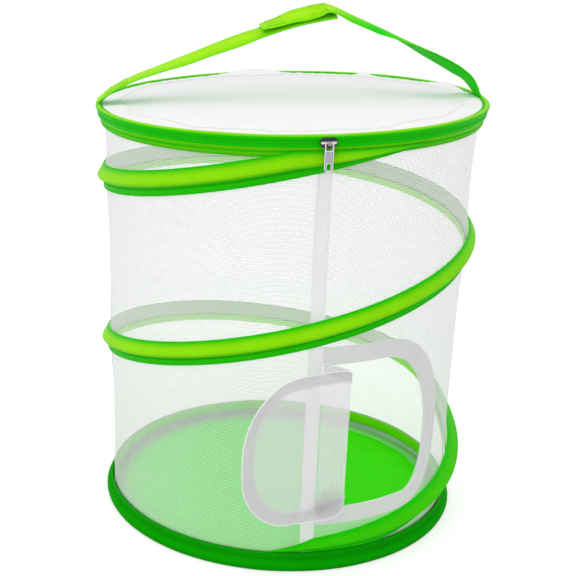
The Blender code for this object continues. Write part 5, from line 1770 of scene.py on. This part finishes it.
class CAGE_OT_floor(bpy.types.Operator):
    """Green cloth floor"""

    bl_idname = "cage.floor"
    bl_label = "Floor"

    def execute(self, context):
        build_floor()
        return {"FINISHED"}


class CAGE_OT_bottom(bpy.types.Operator):
    """Sleeve, stitches and tapes round the bottom hoop"""

    bl_idname = "cage.bottom"
    bl_label = "Bottom sleeve"

    def execute(self, context):
        build_bottom()
        build_floor_seam()
        return {"FINISHED"}


class CAGE_OT_wall(bpy.types.Operator):
    """Net wall with its door opening"""

    bl_idname = "cage.wall"
    bl_label = "Wall net"

    def execute(self, context):
        build_wall_net()
        return {"FINISHED"}


class CAGE_OT_tapes(bpy.types.Operator):
    """Seam strip and door border with their stitches"""

    bl_idname = "cage.tapes"
    bl_label = "Wall tapes"

    def execute(self, context):
        build_seam_strip()
        build_door_border()
        return {"FINISHED"}


class CAGE_OT_spring(bpy.types.Operator):
    """Spring wire with its sleeve, stitches and stay tape"""

    bl_idname = "cage.spring"
    bl_label = "Spring and sleeve"

    def execute(self, context):
        build_spring_sleeve()
        build_spring_wire()
        build_spring_stay()
        return {"FINISHED"}


class CAGE_OT_collar(bpy.types.Operator):
    """Green collar on top of the wall"""

    bl_idname = "cage.collar"
    bl_label = "Collar"

    def execute(self, context):
        build_collar()
        return {"FINISHED"}


class CAGE_OT_lid(bpy.types.Operator):
    """Net lid, hem and piping"""

    bl_idname = "cage.lid"
    bl_label = "Lid"

    def execute(self, context):
        build_lid()
        build_piping()
        return {"FINISHED"}


class CAGE_OT_zip(bpy.types.Operator):
    """Both halves of the zip and their teeth"""

    bl_idname = "cage.zip"
    bl_label = "Zip"

    def execute(self, context):
        build_zip_chains()
        return {"FINISHED"}


class CAGE_OT_slider(bpy.types.Operator):
    """Slider, its bridge and the pull"""

    bl_idname = "cage.slider"
    bl_label = "Zip slider"

    def execute(self, context):
        build_slider()
        build_pull()
        return {"FINISHED"}


class CAGE_OT_strap(bpy.types.Operator):
    """Carry strap, two straps that lap at the grip"""

    bl_idname = "cage.strap"
    bl_label = "Strap"

    def execute(self, context):
        build_strap()
        return {"FINISHED"}


class CAGE_OT_door(bpy.types.Operator):
    """Folded net door with its hem and hooks"""

    bl_idname = "cage.door"
    bl_label = "Door flap"

    def execute(self, context):
        build_door_flap()
        build_hooks()
        return {"FINISHED"}


class CAGE_OT_metal(bpy.types.Operator):
    """Hoops, ferrules, zip stops, hinge tab and hook patch"""

    bl_idname = "cage.metal"
    bl_label = "Steel and small cloth"

    def execute(self, context):
        build_metal()
        return {"FINISHED"}


OPERATORS = (
    CAGE_OT_stage,
    CAGE_OT_floor,
    CAGE_OT_bottom,
    CAGE_OT_wall,
    CAGE_OT_tapes,
    CAGE_OT_spring,
    CAGE_OT_collar,
    CAGE_OT_lid,
    CAGE_OT_zip,
    CAGE_OT_slider,
    CAGE_OT_strap,
    CAGE_OT_door,
    CAGE_OT_metal,
)


class CAGE_PT_panel(bpy.types.Panel):
    """Lists the cage's sizes, colours, light and pieces."""

    bl_label = "Insect cage"
    bl_idname = "CAGE_PT_panel"
    bl_space_type = "VIEW_3D"
    bl_region_type = "UI"
    bl_category = "Cage"

    def draw(self, context):
        scene = context.scene
        for settings in (scene.cage_sizes, scene.cage_colours, scene.cage_light):
            for name in settings.__annotations__:
                self.layout.prop(settings, name)
        for made in OPERATORS:
            self.layout.operator(made.bl_idname)


CLASSES = (CageSizes, CageColours, CageLight, *OPERATORS, CAGE_PT_panel)


def register():
    for made in CLASSES:
        bpy.utils.register_class(made)
    bpy.types.Scene.cage_sizes = PointerProperty(type=CageSizes)
    bpy.types.Scene.cage_colours = PointerProperty(type=CageColours)
    bpy.types.Scene.cage_light = PointerProperty(type=CageLight)


def unregister():
    del bpy.types.Scene.cage_light
    del bpy.types.Scene.cage_colours
    del bpy.types.Scene.cage_sizes
    for made in reversed(CLASSES):
        bpy.utils.unregister_class(made)


def main():
    register()
    for made in OPERATORS:
        area, name = made.bl_idname.split(".")
        getattr(getattr(bpy.ops, area), name)()


if __name__ == "__main__":
    main()
